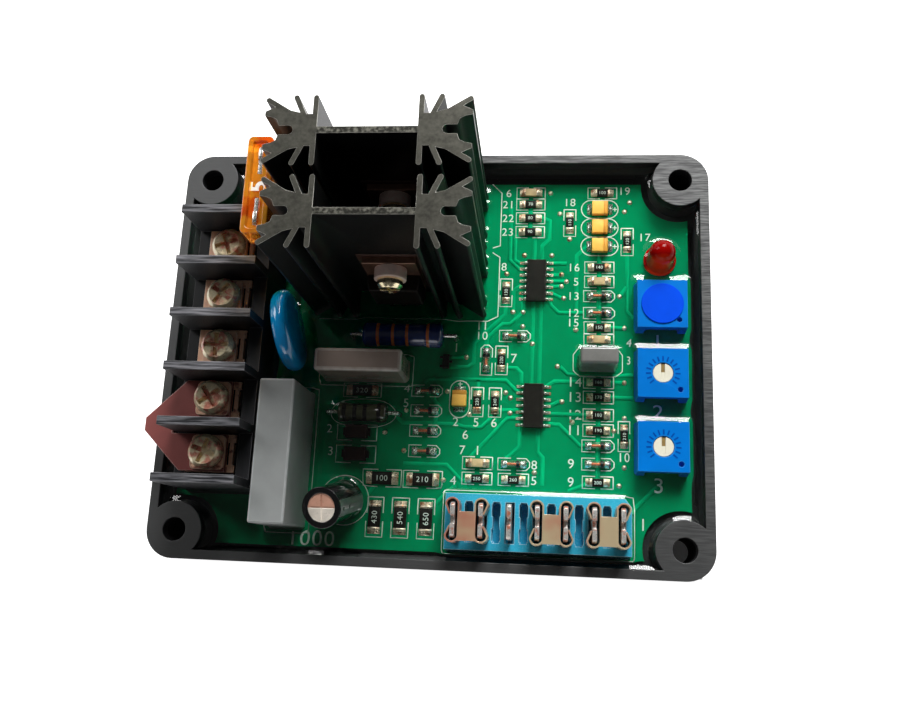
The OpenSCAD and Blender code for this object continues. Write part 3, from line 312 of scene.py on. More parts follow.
def ramp(tree, value, low, high, bottom=0.0, top=1.0):
    """Runs from bottom to top while a value runs from low to high."""
    inputs = {"Value": value, "From Min": low, "From Max": high, "To Min": bottom, "To Max": top}
    return put(tree, "ShaderNodeMapRange", inputs).outputs[0]


def object_place(tree):
    """Object coordinates."""
    return put(tree, "ShaderNodeTexCoord").outputs["Object"]


def axes(tree):
    """Object coordinates, as the sockets X, Y and Z."""
    return put(tree, "ShaderNodeSeparateXYZ", {0: object_place(tree)}).outputs


def speckle(tree, scale, detail, place=None):
    """Noise from 0 to 1 over the surface."""
    inputs = {"Vector": object_place(tree) if place is None else place, "Scale": scale, "Detail": detail}
    return put(tree, "ShaderNodeTexNoise", inputs).outputs["Fac"]


def new_group(name, inputs, outputs):
    """An empty shader group with named sockets, and its inner ends."""
    tree = bpy.data.node_groups.new(name, "ShaderNodeTree")
    for title, kind in inputs:
        tree.interface.new_socket(title, in_out="INPUT", socket_type="NodeSocket" + kind)
    for title, kind in outputs:
        tree.interface.new_socket(title, in_out="OUTPUT", socket_type="NodeSocket" + kind)
    return tree, put(tree, "NodeGroupInput").outputs, put(tree, "NodeGroupOutput").inputs


@cache
def mottle_group():
    """Slow change of a colour over the surface."""
    kinds = [("Color", "Color"), ("Scale", "Float"), ("Amount", "Float")]
    tree, given, result = new_group("Mottle", kinds, [("Color", "Color")])
    swing = times(tree, maths(tree, "SUBTRACT", speckle(tree, given["Scale"], 5.0), 0.5), 4.0)
    shade = maths(tree, "ADD", times(tree, swing, given["Amount"]), 1.0)
    tree.links.new(blend_colours(tree, 1.0, given["Color"], shade, "MULTIPLY"), result["Color"])
    return tree


@cache
def grain_group():
    """Fine grain for roughness and bump."""
    kinds = [("Scale", "Float"), ("Roughness", "Float"), ("Variation", "Float")]
    tree, given, result = new_group("Grain", kinds, [("Roughness", "Float"), ("Height", "Float")])
    grains = speckle(tree, given["Scale"], 3.0)
    swing = times(tree, maths(tree, "SUBTRACT", grains, 0.5), given["Variation"])
    tree.links.new(maths(tree, "ADD", given["Roughness"], swing), result["Roughness"])
    tree.links.new(grains, result["Height"])
    return tree


@cache
def edge_group():
    """Lighter colour along the faces that were rounded off, which carry the attribute edge: partly wear,
    partly painted edge highlight.
    """
    kinds = [("Color", "Color"), ("Edge", "Color"), ("Amount", "Float")]
    tree, given, result = new_group("Edge wear", kinds, [("Color", "Color")])
    edge = put(tree, "ShaderNodeAttribute", attribute_name="edge").outputs["Fac"]
    wear_and_highlight = times(tree, edge, times(tree, speckle(tree, 700.0, 4.0), given["Amount"]))
    tree.links.new(blend_colours(tree, wear_and_highlight, given["Color"], given["Edge"]), result["Color"])
    return tree


@cache
def patches_group():
    """Patches of another colour: Cover is the share of the surface that they take."""
    kinds = [("Color", "Color"), ("Other", "Color"), ("Scale", "Float"), ("Cover", "Float")]
    tree, given, result = new_group("Patches", kinds, [("Color", "Color")])
    start = maths(tree, "SUBTRACT", 0.74, times(tree, given["Cover"], 0.6))
    share = ramp(tree, speckle(tree, given["Scale"], 3.0), start, maths(tree, "ADD", start, 0.12))
    tree.links.new(blend_colours(tree, share, given["Color"], given["Other"]), result["Color"])
    return tree


@cache
def streak_group():
    """Scratches that run along one axis: Stretch is the scale along X, Y and Z."""
    tree, given, result = new_group("Streaks", [("Stretch", "Vector")], [("Value", "Float")])
    inputs = {0: object_place(tree), 1: given["Stretch"]}
    place = put(tree, "ShaderNodeVectorMath", inputs, operation="MULTIPLY").outputs[0]
    tree.links.new(speckle(tree, 1.0, 4.0, place), result["Value"])
    return tree


def use(tree, group, **inputs):
    """Places a shader group and joins or fills its inputs."""
    return put(tree, "ShaderNodeGroup", inputs, node_tree=group)


# Materials


class Finish:
    """A material under construction: its tree, its shader and the colour that feeds it so far."""

    def __init__(self, name, colour, roughness, metallic=0.0, coat=0.0, specular=0.5):
        self.material = bpy.data.materials.new(name)
        self.material.use_nodes = True
        self.tree = self.material.node_tree
        self.shader = self.tree.nodes["Principled BSDF"]
        self.colour = tuple(colour)
        self.roughness = roughness
        for socket, value in (
            ("Base Color", (*self.colour, 1.0)),
            ("Roughness", roughness),
            ("Metallic", metallic),
            ("Coat Weight", coat),
            ("Specular IOR Level", specular),
        ):
            self.shader.inputs[socket].default_value = value

    def paint(self, socket):
        """Feeds the base colour from a socket."""
        self.colour = socket
        self.tree.links.new(socket, self.shader.inputs["Base Color"])
        return self

    def now(self):
        """The colour so far, as a socket or four numbers."""
        return self.colour if isinstance(self.colour, bpy.types.NodeSocket) else (*self.colour, 1.0)

    def mottle(self, size, amount):
        """Slow change of colour, with patches of about that size."""
        node = use(self.tree, mottle_group(), Color=self.now(), Scale=1 / size, Amount=amount)
        return self.paint(node.outputs["Color"])

    def patches(self, other, size, cover):
        """Patches of another colour over a share of the surface."""
        values = {"Color": self.now(), "Other": (*other, 1.0), "Scale": 1 / size, "Cover": cover}
        return self.paint(use(self.tree, patches_group(), **values).outputs["Color"])

    def grain(self, size, variation, bump=0.0):
        """Grain in the roughness and, with bump, in the surface."""
        node = use(self.tree, grain_group(), Scale=1 / size, Roughness=self.roughness, Variation=variation)
        self.tree.links.new(node.outputs["Roughness"], self.shader.inputs["Roughness"])
        if bump:
            self.raise_by(node.outputs["Height"], bump, size * 0.2)
        return self

    def raise_by(self, height, strength, distance):
        """Bump from a height socket, on top of any bump so far."""
        inputs = {"Height": height, "Strength": strength, "Distance": distance}
        node = put(self.tree, "ShaderNodeBump", inputs)
        before = self.shader.inputs["Normal"].links
        if before:
            self.tree.links.new(before[0].from_socket, node.inputs["Normal"])
        self.tree.links.new(node.outputs["Normal"], self.shader.inputs["Normal"])
        return self

    def edges(self, colour, amount):
        """Rounded edges in another colour: partly wear, partly painted edge highlight."""
        node = use(self.tree, edge_group(), Color=self.now(), Edge=(*colour, 1.0), Amount=amount)
        return self.paint(node.outputs["Color"])

    def above(self, height, colour, streaks, contrast, painted_sheen_fade=None):
        """A top above a height, painted lighter in streaks, which may be weak at the front left and full at
        the rear right as a painted sheen.
        """
        tree = self.tree
        place = axes(tree)
        top = maths(tree, "GREATER_THAN", place["Z"], height)
        scratches = use(tree, streak_group(), Stretch=streaks).outputs["Value"]
        share = ramp(tree, scratches, 0.38, 0.68)
        # Painted sheen: the streaks weaken towards the front left.
        if painted_sheen_fade:
            along = ramp(tree, maths(tree, "ADD", place["X"], place["Y"]), *painted_sheen_fade)
            plain = times(tree, maths(tree, "SUBTRACT", 1.0, along), 0.2)
            share = maths(tree, "ADD", times(tree, share, along), plain)
        share = times(tree, times(tree, share, top), contrast)
        self.raise_by(times(tree, scratches, top), 0.5, 0.06 * MM)
        return self.paint(blend_colours(tree, share, self.colour, colour))

    def dull_below(self, height):
        """No sheen below a height, where resin wets the surface."""
        wet = maths(self.tree, "LESS_THAN", axes(self.tree)["Z"], height)
        socket = self.shader.inputs["Roughness"]
        self.tree.links.new(maths(self.tree, "MAXIMUM", socket.links[0].from_socket, wet), socket)
        return self

    def bands(self, axis, middles, width, colour):
        """Painted bands of one width on places along an axis."""
        along = axes(self.tree)[axis]
        for middle in middles:
            inside = within(self.tree, along, middle, width / 2)
            self.paint(blend_colours(self.tree, inside, self.colour, colour))
        return self

    def clear(self, amount, roughness=0.05, ior=1.5):
        """Lets light through, lamps included."""
        self.shader.inputs["Transmission Weight"].default_value = amount
        self.shader.inputs["IOR"].default_value = ior
        self.shader.inputs["Roughness"].default_value = roughness
        return self

    def lets_lamps_through(self, tint):
        """Lamps shine through the surface without being bent."""
        tree = self.tree
        through = put(tree, "ShaderNodeBsdfTransparent", {"Color": (*tint, 1.0)})
        path = put(tree, "ShaderNodeLightPath")
        mixed = put(tree, "ShaderNodeMixShader", {0: path.outputs["Is Shadow Ray"]})
        tree.links.new(self.shader.outputs[0], mixed.inputs[1])
        tree.links.new(through.outputs[0], mixed.inputs[2])
        tree.links.new(mixed.outputs[0], tree.nodes["Material Output"].inputs["Surface"])
        return self


@cache
def tinned():
    """Tinned leads and solder."""
    finish = Finish("tinned", bpy.context.scene.regulator_metal.tin, 0.26, metallic=0.9)
    return finish.mottle(0.8 * MM, 0.22).grain(0.3 * MM, 0.3, 0.2).material


@cache
def solder():
    """Solder on the chips' ends, with a hint of copper."""
    finish = Finish("solder", srgb(226, 208, 186), 0.3, metallic=0.85)
    finish.patches(srgb(190, 132, 100), 1.4 * MM, 0.4)
    return finish.mottle(0.6 * MM, 0.2).grain(0.3 * MM, 0.3, 0.25).material


@cache
def ink():
    """White ink of the printed lines and numbers."""
    finish = Finish("white_ink", bpy.context.scene.regulator_board.ink, 0.6, specular=0.0)
    return finish.mottle(0.5 * MM, 0.12).grain(0.15 * MM, 0.2, 0.2).material


@cache
def black_epoxy():
    """Moulded black of small packages."""
    finish = Finish("black_epoxy", srgb(26, 23, 20), 0.45, specular=0.08)
    finish.mottle(1.2 * MM, 0.2).grain(0.12 * MM, 0.25, 0.25)
    # Lighter rounded edges: painted edge highlight.
    return finish.edges(srgb(90, 88, 86), 0.4).material


# Meshes and pieces


def add_object(name, data):
    """Links a new object into the scene."""
    made = bpy.data.objects.new(name, data)
    bpy.context.scene.collection.objects.link(made)
    return made


def coat(mesh, material):
    """Leaves a mesh with one material."""
    mesh.materials.clear()
    mesh.materials.append(material)


def show(name, mesh, material, body=BODY, replaced=()):
    """Puts a finished mesh into the scene as a piece that rides on a body."""
    piece = add_object(name, mesh)
    coat(mesh, material)
    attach(piece, body)
    if replaced:
        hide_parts(*replaced)
    return piece


def plain_mesh(carrier):
    """The mesh that an object shows. The object is removed."""
    mesh = bpy.data.meshes.new_from_object(carrier.evaluated_get(bpy.context.evaluated_depsgraph_get()))
    bpy.data.objects.remove(carrier)
    return mesh


@cache
def node_box(node):
    """Lowest and highest corner of a node."""
    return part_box(node)


def centre(node):
    """Middle of a node's box."""
    low, high = node_box(node)
    return (low + high) / 2


def to_mesh(name, bm, smooth=True):
    """Turns a bmesh into a mesh and frees it."""
    mesh = bpy.data.meshes.new(name)
    for face in bm.faces:
        face.smooth = smooth
    bm.to_mesh(mesh)
    bm.free()
    return mesh


def merged(node):
    """A bmesh copy of a node with its triangles joined to flat faces."""
    bm = bmesh.new()
    bm.from_mesh(frame["nodes"][node].data)
    bmesh.ops.remove_doubles(bm, verts=bm.verts, dist=0.002 * MM)
    bmesh.ops.dissolve_limit(bm, angle_limit=math.radians(0.6), verts=bm.verts, edges=bm.edges)
    return bm


def keeps_flats(piece):
    """Weighs a piece's normals by area, so that flat faces shade flat beside their rounded edges."""
    modifier = piece.modifiers.new("flat faces", "WEIGHTED_NORMAL")
    modifier.keep_sharp = True
    modifier.weight = 80
    return piece


def sharp_edges(bm, angle=32.0):
    """The edges of a bmesh that turn by more than an angle."""
    return [e for e in bm.edges if len(e.link_faces) == 2 and e.calc_face_angle(0.0) > math.radians(angle)]


def rounded(node, width, material, body=BODY, segments=2, only=None):
    """A copy of a node with its sharp edges rounded, which stands for it. Only picks among those edges."""
    bm = merged(node)
    wear = bm.faces.layers.float.new("edge")
    edges = [e for e in sharp_edges(bm) if only is None or only(e)]
    if width and edges:
        shape = {"offset_type": "OFFSET", "segments": segments, "profile": 0.5, "clamp_overlap": True}
        for face in bmesh.ops.bevel(bm, geom=edges, offset=width, affect="EDGES", **shape)["faces"]:
            face[wear] = 1.0
    mesh = to_mesh(node + "_rounded", bm)
    mesh.set_sharp_from_angle(angle=math.radians(46 if width else 32))
    return keeps_flats(show(node + "_rounded", mesh, material, body, (node,)))


def is_level(edge):
    """True for an edge that runs level."""
    return abs(edge.verts[0].co.z - edge.verts[1].co.z) < 0.01 * MM


def solids(node):
    """Lowest and highest corner of each separate solid of a node."""
    bm = merged(node)
    left = set(bm.verts)
    found = []
    for start in bm.verts:
        if start not in left:
            continue
        left.discard(start)
        heap, island = [start], []
        while heap:
            vertex = heap.pop()
            island.append(vertex.co.copy())
            for edge in vertex.link_edges:
                other = edge.other_vert(vertex)
                if other in left:
                    left.discard(other)
                    heap.append(other)
        found.append(tuple(Vector(f(c[i] for c in island) for i in range(3)) for f in (min, max)))
    bm.free()
    return found


def places(node):
    """Middle of the foot and the turn of each solid of a node, and their size, its length first."""
    boxes = solids(node)
    found = []
    for low, high in boxes:
        size = high - low
        turn = 0.0 if size.x >= size.y else math.pi / 2
        found.append(((low.x + high.x) / 2, (low.y + high.y) / 2, low.z, turn))
    size = boxes[0][1] - boxes[0][0]
    return found, Vector((max(size.x, size.y), min(size.x, size.y), size.z))


def box_shape(bm, low, high):
    """Adds a box between two corners to a bmesh."""
    size = Vector(high) - Vector(low)
    move = Matrix.Translation((Vector(low) + Vector(high)) / 2) @ Matrix.Diagonal((*size, 1.0))
    bmesh.ops.create_cube(bm, size=1.0, matrix=move)


def soft_box(size, width, low=(0, 0, 0)):
    """A box with rounded edges on the middle of its foot, moved by low."""
    bm = bmesh.new()
    half = Vector((size[0] / 2, size[1] / 2, 0))
    box_shape(bm, Vector(low) - half, Vector(low) + half + Vector((0, 0, size[2])))
    bmesh.ops.bevel(bm, geom=list(bm.edges), offset=width, segments=2, profile=0.5, affect="EDGES")
    return to_mesh("soft_box", bm)


def lathe(outline, sides, matrix=None):
    """A turned shape: outline holds radius and height pairs from one end of the axis to the other."""
    bm = bmesh.new()
    rings = []
    for radius, height in outline:
        if radius < 1e-9:
            rings.append([bm.verts.new((0, 0, height))])
            continue
        turns = [2 * math.pi * k / sides for k in range(sides)]
        rings.append([bm.verts.new((radius * math.cos(a), radius * math.sin(a), height)) for a in turns])
    for lower, upper in zip(rings, rings[1:]):
        for k in range(sides):
            n = (k + 1) % sides
            if len(lower) == 1:
                bm.faces.new((lower[0], upper[n], upper[k]))
            elif len(upper) == 1:
                bm.faces.new((lower[k], lower[n], upper[0]))
            else:
                bm.faces.new((lower[k], lower[n], upper[n], upper[k]))
    bmesh.ops.recalc_face_normals(bm, faces=bm.faces)
    if matrix is not None:
        bmesh.ops.transform(bm, matrix=matrix, verts=bm.verts)
    return bm


def tube_outline(radius, low, high, soft):
    """Outline of a turned rod with rounded ends."""
    steps = [math.pi / 2 * k / 4 for k in range(5)]
    foot = [(radius - soft + soft * math.sin(a), low + soft - soft * math.cos(a)) for a in steps]
    head = [(radius - soft + soft * math.cos(a), high - soft + soft * math.sin(a)) for a in steps]
    return [(0, low), *foot, *head, (0, high)]


# Geometry Nodes


def new_tree(name, inputs):
    """An empty geometry tree with named inputs, and its inner ends."""
    tree = bpy.data.node_groups.new(name, "GeometryNodeTree")
    tree.interface.new_socket("Geometry", in_out="INPUT", socket_type="NodeSocketGeometry")
    for title, kind in inputs:
        tree.interface.new_socket(title, in_out="INPUT", socket_type="NodeSocket" + kind)
    tree.interface.new_socket("Geometry", in_out="OUTPUT", socket_type="NodeSocketGeometry")
    return tree, put(tree, "NodeGroupInput").outputs, put(tree, "NodeGroupOutput").inputs


def finish_tree(tree, geometry, material, result):
    """Ends a tree in real geometry with its material."""
    real = put(tree, "GeometryNodeRealizeInstances", {"Geometry": geometry})
    coated = put(tree, "GeometryNodeSetMaterial", {"Geometry": real.outputs[0], "Material": material})
    tree.links.new(coated.outputs[0], result["Geometry"])


def set_on_points(tree, points, shape, turn):
    """Copies of a shape on points, each turned about Z."""
    spin = put(tree, "ShaderNodeCombineXYZ", {"Z": turn}).outputs[0]
    inputs = {"Points": points, "Instance": shape, "Rotation": spin}
    return put(tree, "GeometryNodeInstanceOnPoints", inputs).outputs[0]


@cache
def copies_tree():
    """Copies of a shape on every point, turned by the attribute turn."""
    tree, given, result = new_tree("Copies on the board", [("Shape", "Object"), ("Material", "Material")])
    shape = put(tree, "GeometryNodeObjectInfo", {"Object": given["Shape"]}).outputs["Geometry"]
    turn = put(tree, "GeometryNodeInputNamedAttribute", {"Name": "turn"}, data_type="FLOAT").outputs[0]
    finish_tree(tree, set_on_points(tree, given["Geometry"], shape, turn), given["Material"], result)
    return tree


@cache
def lines_tree():
    """Flat bars along every edge path."""
    kinds = [("Width", "Float"), ("Height", "Float"), ("Material", "Material")]
    tree, given, result = new_tree("Lines on the board", kinds)
    path = put(tree, "GeometryNodeMeshToCurve", {"Mesh": given["Geometry"]})
    level = put(tree, "GeometryNodeSetCurveNormal", {"Curve": path.outputs[0]}, mode="Z_UP")
    size = {"Width": given["Width"], "Height": given["Height"]}
    section = put(tree, "GeometryNodeCurvePrimitiveQuadrilateral", size)
    sweep = {"Curve": level.outputs[0], "Profile Curve": section.outputs[0], "Fill Caps": True}
    bars = put(tree, "GeometryNodeCurveToMesh", sweep)
    finish_tree(tree, bars.outputs[0], given["Material"], result)
    return tree


@cache
def dial_tree():
    """Marks along an arc, each turned outwards."""
    kinds = [("Count", "Int"), ("Radius", "Float"), ("Sweep", "Float"), ("Mark", "Vector")]
    tree, given, result = new_tree("Dial", [*kinds, ("Material", "Material")])
    row = put(tree, "GeometryNodeMeshLine", {"Count": given["Count"], "Offset": (0.0, 0.0, 0.0)})
    steps = maths(tree, "SUBTRACT", given["Count"], 1.0)
    share = maths(tree, "DIVIDE", put(tree, "GeometryNodeInputIndex").outputs[0], steps)
    middle = maths(tree, "SUBTRACT", share, 0.5)
    angle = times(tree, middle, given["Sweep"])
    across = times(tree, maths(tree, "SINE", angle), given["Radius"])
    along = times(tree, maths(tree, "COSINE", angle), given["Radius"])
    spot = put(tree, "ShaderNodeCombineXYZ", {"X": across, "Y": along})
    spread = put(tree, "GeometryNodeSetPosition", {"Geometry": row.outputs[0], "Position": spot.outputs[0]})
    mark = put(tree, "GeometryNodeMeshCube", {"Size": given["Mark"]}).outputs[0]
    placed = set_on_points(tree, spread.outputs[0], mark, times(tree, angle, -1.0))
    finish_tree(tree, placed, given["Material"], result)
    return tree


def grown(carrier_mesh, tree, values):
    """The plain mesh that a geometry tree makes from a carrier."""
    carrier = add_object("carrier", carrier_mesh)
    modifier = carrier.modifiers.new("grow", "NODES")
    modifier.node_group = tree
    for item in tree.interface.items_tree:
        if item.item_type == "SOCKET" and item.in_out == "INPUT" and item.name in values:
            modifier[item.identifier] = values[item.name]
    return plain_mesh(carrier)


def copies(name, shape, where, material, replaced=()):
    """One piece of many copies of a shape, at X, Y, Z and turn."""
    points = bpy.data.meshes.new(name + "_points")
    points.from_pydata([p[:3] for p in where], [], [])
    turn = points.attributes.new("turn", "FLOAT", "POINT")
    turn.data.foreach_set("value", [p[3] for p in where])
    pattern = add_object("pattern", shape)
    mesh = grown(points, copies_tree(), {"Shape": pattern, "Material": material})
    bpy.data.objects.remove(pattern)
    return show(name, mesh, material, replaced=replaced)


def lines(name, paths, width, height, level, material):
    """One piece of flat lines along paths in X and Y."""
    points, edges = [], []
    for k, path in enumerate(paths):
        first = len(points)
        points += [(x, y, level + (k % 16) * 0.0015 * MM) for x, y in path]
        edges += [(k, k + 1) for k in range(first, len(points) - 1)]
    carrier = bpy.data.meshes.new(name + "_paths")
    carrier.from_pydata(points, edges, [])
    mesh = grown(carrier, lines_tree(), {"Width": width, "Height": height, "Material": material})
    return show(name, mesh, material)


# Printed figures


@cache
def figure_mesh(figure, bold):
    """The mesh of one figure, 1 high, its strokes thickened by bold."""
    text = bpy.data.curves.new("figure", "FONT")
    text.body = figure
    text.size = 1.45
    text.extrude = 0.01
    text.offset = bold
    return plain_mesh(add_object("figure", text))


def write_number(bm, number, place, height, turn=0.0, thickness=0.02 * MM, bold=0.0):
    """Adds a number to a bmesh, on its middle."""
    figures = str(number)
    pitch = 0.8
    start = -pitch * (len(figures) - 1) / 2 - 0.41
    for k, figure in enumerate(figures):
        mesh = figure_mesh(figure, bold).copy()
        move = Matrix.Translation(place) @ Matrix.Rotation(turn, 4, "Z")
        flat = Matrix.Diagonal((height, height, thickness / 0.02, 1.0))
        mesh.transform(move @ flat @ Matrix.Translation((start + k * pitch, -0.5, 0)))
        bm.from_mesh(mesh)
        bpy.data.meshes.remove(mesh)


class RegulatorOperator:
    """What the operators share."""

    bl_options = {"REGISTER", "UNDO"}


class REGULATOR_OT_tray(RegulatorOperator, bpy.types.Operator):
    """Round the tray's edges and give it a sanded rim, its streaks lighter towards the rear right as painted
    sheen
    """

    bl_idname = "regulator.tray"
    bl_label = "Tray"

    def execute(self, context):
        finish = Finish("tray_black", context.scene.regulator_plastic.tray, 0.48, specular=0.6)
        finish.mottle(6 * MM, 0.12)
        # Lighter streaks on the rim: sanding marks, with a painted sheen that grows from the front left to
        # the rear right.
        finish.above(RIM_TOP - 0.2 * MM, srgb(158, 160, 158), (260, 3400, 300), 0.5, (0, 80 * MM))
        finish.grain(0.22 * MM, 0.2, 0.2).dull_below(RESIN_TOP)
        rounded("tray", 0.14 * MM, finish.material)
        return {"FINISHED"}


# Chips with a printed frame, and how far its corners are cut at one end
CHIP_FRAMES = {
    "chip_resistors": 0.0,
    "power_chip_resistors": 0.0,
    "ceramic_capacitors": 0.0,
    "rectifier_diodes": 0.0,
    "glass_diodes": 0.7 * MM,
}


def on_grid(path):
    """A path given in millimetres."""
    return [(x * MM, y * MM) for x, y in path]


def laid(path, place):
    """A path round the origin, turned and moved to a place."""
    x, y, _, turn = place
    cos, sin = math.cos(turn), math.sin(turn)
    return [(x + cos * u - sin * v, y + sin * u + cos * v) for u, v in path]


def chip_frame(place, size, chamfer=0.0):
    """Printed brackets round a chip: two square ones, or one square and one with cut corners."""
    length, width = size.x / 2 + 1.3 * MM, size.y / 2 + 0.4 * MM
    gap = size.x * 0.16
    square = [(-gap, width), (-length, width), (-length, -width), (-gap, -width)]
    other = [(gap, width), (length - chamfer, width), (length, width - chamfer)]
    other += [(length, chamfer - width), (length - chamfer, -width), (gap, -width)]
    return [laid(square, place), laid(other, place)]


def ring_path(node, radius_x, radius_y, count=40):
    """A closed round path about the middle of a node."""
    middle = centre(node)
    angles = [2 * math.pi * k / count for k in range(count + 1)]
    return [(middle.x + radius_x * math.cos(a), middle.y + radius_y * math.sin(a)) for a in angles]


def pill_path(length, width):
    """A closed path with round ends, about the origin."""
    straight, radius = (length - width) / 2, width / 2
    arc = [math.pi * k / 10 for k in range(11)]
    right = [(straight + radius * math.sin(a), radius * math.cos(a)) for a in arc]
    left = [(-straight - radius * math.sin(a), -radius * math.cos(a)) for a in arc]
    return [*right, *left, right[0]]


def foot_path(node, margin, cut=0.0):
    """A closed path round the foot of a node, with cut corners."""
    low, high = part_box(node)
    x0, y0, x1, y1 = low.x - margin, low.y - margin, high.x + margin, high.y + margin
    path = [(x0 + cut, y0), (x1 - cut, y0), (x1, y0 + cut), (x1, y1 - cut), (x1 - cut, y1), (x0 + cut, y1)]
    return [*path, (x0, y1 - cut), (x0, y0 + cut), (x0 + cut, y0)]


class REGULATOR_OT_board(RegulatorOperator, bpy.types.Operator):
    """Coat the board and lay its tracks, through-contacts and print"""

    bl_idname = "regulator.board"
    bl_label = "Board"

    def execute(self, context):
        board = context.scene.regulator_board
        mask = Finish("solder_mask", board.mask, 0.4, specular=0.0)
        mask.mottle(9 * MM, 0.1).grain(0.3 * MM, 0.15, 0.1)
        coat(frame["nodes"]["circuit_board"].data, mask.material)
        track = Finish("covered_track", board.track, 0.4, specular=0.0)
        track.mottle(5 * MM, 0.12).grain(0.3 * MM, 0.15, 0.1)
        paths = [on_grid(path) for path in TRACKS]
        level = BOARD_TOP + 0.02 * MM
        lines("board_tracks", paths, board.track_width, 0.04 * MM, level, track.material)
        self.print_lines(board)
        self.print_numbers()
        half, tall = board.via_size / 2, 0.2 * MM
        outline = [(0, 0), (half, 0), (half * 0.8, tall * 0.6), (half * 0.4, tall), (0, tall)]
        spots = [(x, y, BOARD_TOP, 0.0) for x, y in on_grid(VIAS)]
        copies("via_contacts", to_mesh("via", lathe(outline, 14)), spots, solder())
        return {"FINISHED"}

    def print_lines(self, board):
        """Outlines printed round the parts."""
        paths = [on_grid(path) for path in SINK_OUTLINE]
        for node, chamfer in CHIP_FRAMES.items():
            spots, size = places(node)
            for place in spots:
                paths += chip_frame(place, size, chamfer)
        spots, size = places("tantalum_capacitors")
        length, arm = size.x + 3.9 * MM, 0.45 * MM
        for place in spots:
            paths.append(laid(pill_path(length, size.y + 1.1 * MM), place))
            x, y = laid([(length * 0.41, 0)], place)[0]
            paths += [[(x - arm, y), (x + arm, y)], [(x, y - arm), (x, y + arm)]]
        paths.append(foot_path("film_capacitor_small", 0.9 * MM, 1.0 * MM))
        paths.append(foot_path("film_capacitor_medium", 0.7 * MM))
        paths.append(foot_path("film_capacitor_large", 0.8 * MM))
        paths.append(foot_path("jumper_base", 0.5 * MM))
        paths.append(ring_path("electrolytic_leads", 4.5 * MM, 4.5 * MM))
        paths.append(ring_path("axial_resistor", 6.4 * MM, 2.6 * MM))
        lines("printed_lines", paths, board.line_width, 0.02 * MM, INK_LEVEL, ink())

    def print_numbers(self):
        """Plain numbers beside the parts."""
        bm = bmesh.new()
        for number, x, y, height in PRINTED:
            write_number(bm, number, (x * MM, y * MM, INK_LEVEL), height * MM)
        show("printed_numbers", to_mesh("printed_numbers", bm, False), ink())


# Nodes that stand in the resin, those of them whose inside stays dry, and thin ones.
# The order of the first settles which of two equally near faces the search finds.
SHORE_NODES = (
    "tray", "terminal_block", "varistor", "film_capacitor_large",
    "film_capacitor_medium", "film_capacitor_small", "power_resistor", "axial_resistor",
    "electrolytic_sleeve", "jumper_base", "trimmer_housing_1", "trimmer_housing_2",
    "trimmer_housing_3", "led_lens",
)
DRY_NODES = (
    "terminal_block", "film_capacitor_large", "film_capacitor_medium", "film_capacitor_small",
    "jumper_base", "trimmer_housing_1", "trimmer_housing_2", "trimmer_housing_3",
)
THIN_SHORE_NODES = (*SINKS, "fuse_clips", "device_leads", "resistor_leads", "varistor_leads")


def shore_tree(nodes):
    """A search tree over the surfaces of some nodes."""
    points, faces = [], []
    for node in nodes:
        mesh = frame["nodes"][node].data
        first = len(points)
        points += [v.co.copy() for v in mesh.vertices]
        faces += [[first + v for v in face.vertices] for face in mesh.polygons]
    return BVHTree.FromPolygons(points, faces)


def distance_to(shore, point):
    """How far a point is outside a surface, or 0 inside it."""
    spot, normal, _, far = shore.find_nearest(point)
    return 0.0 if (point - spot).dot(normal) < 0 else far


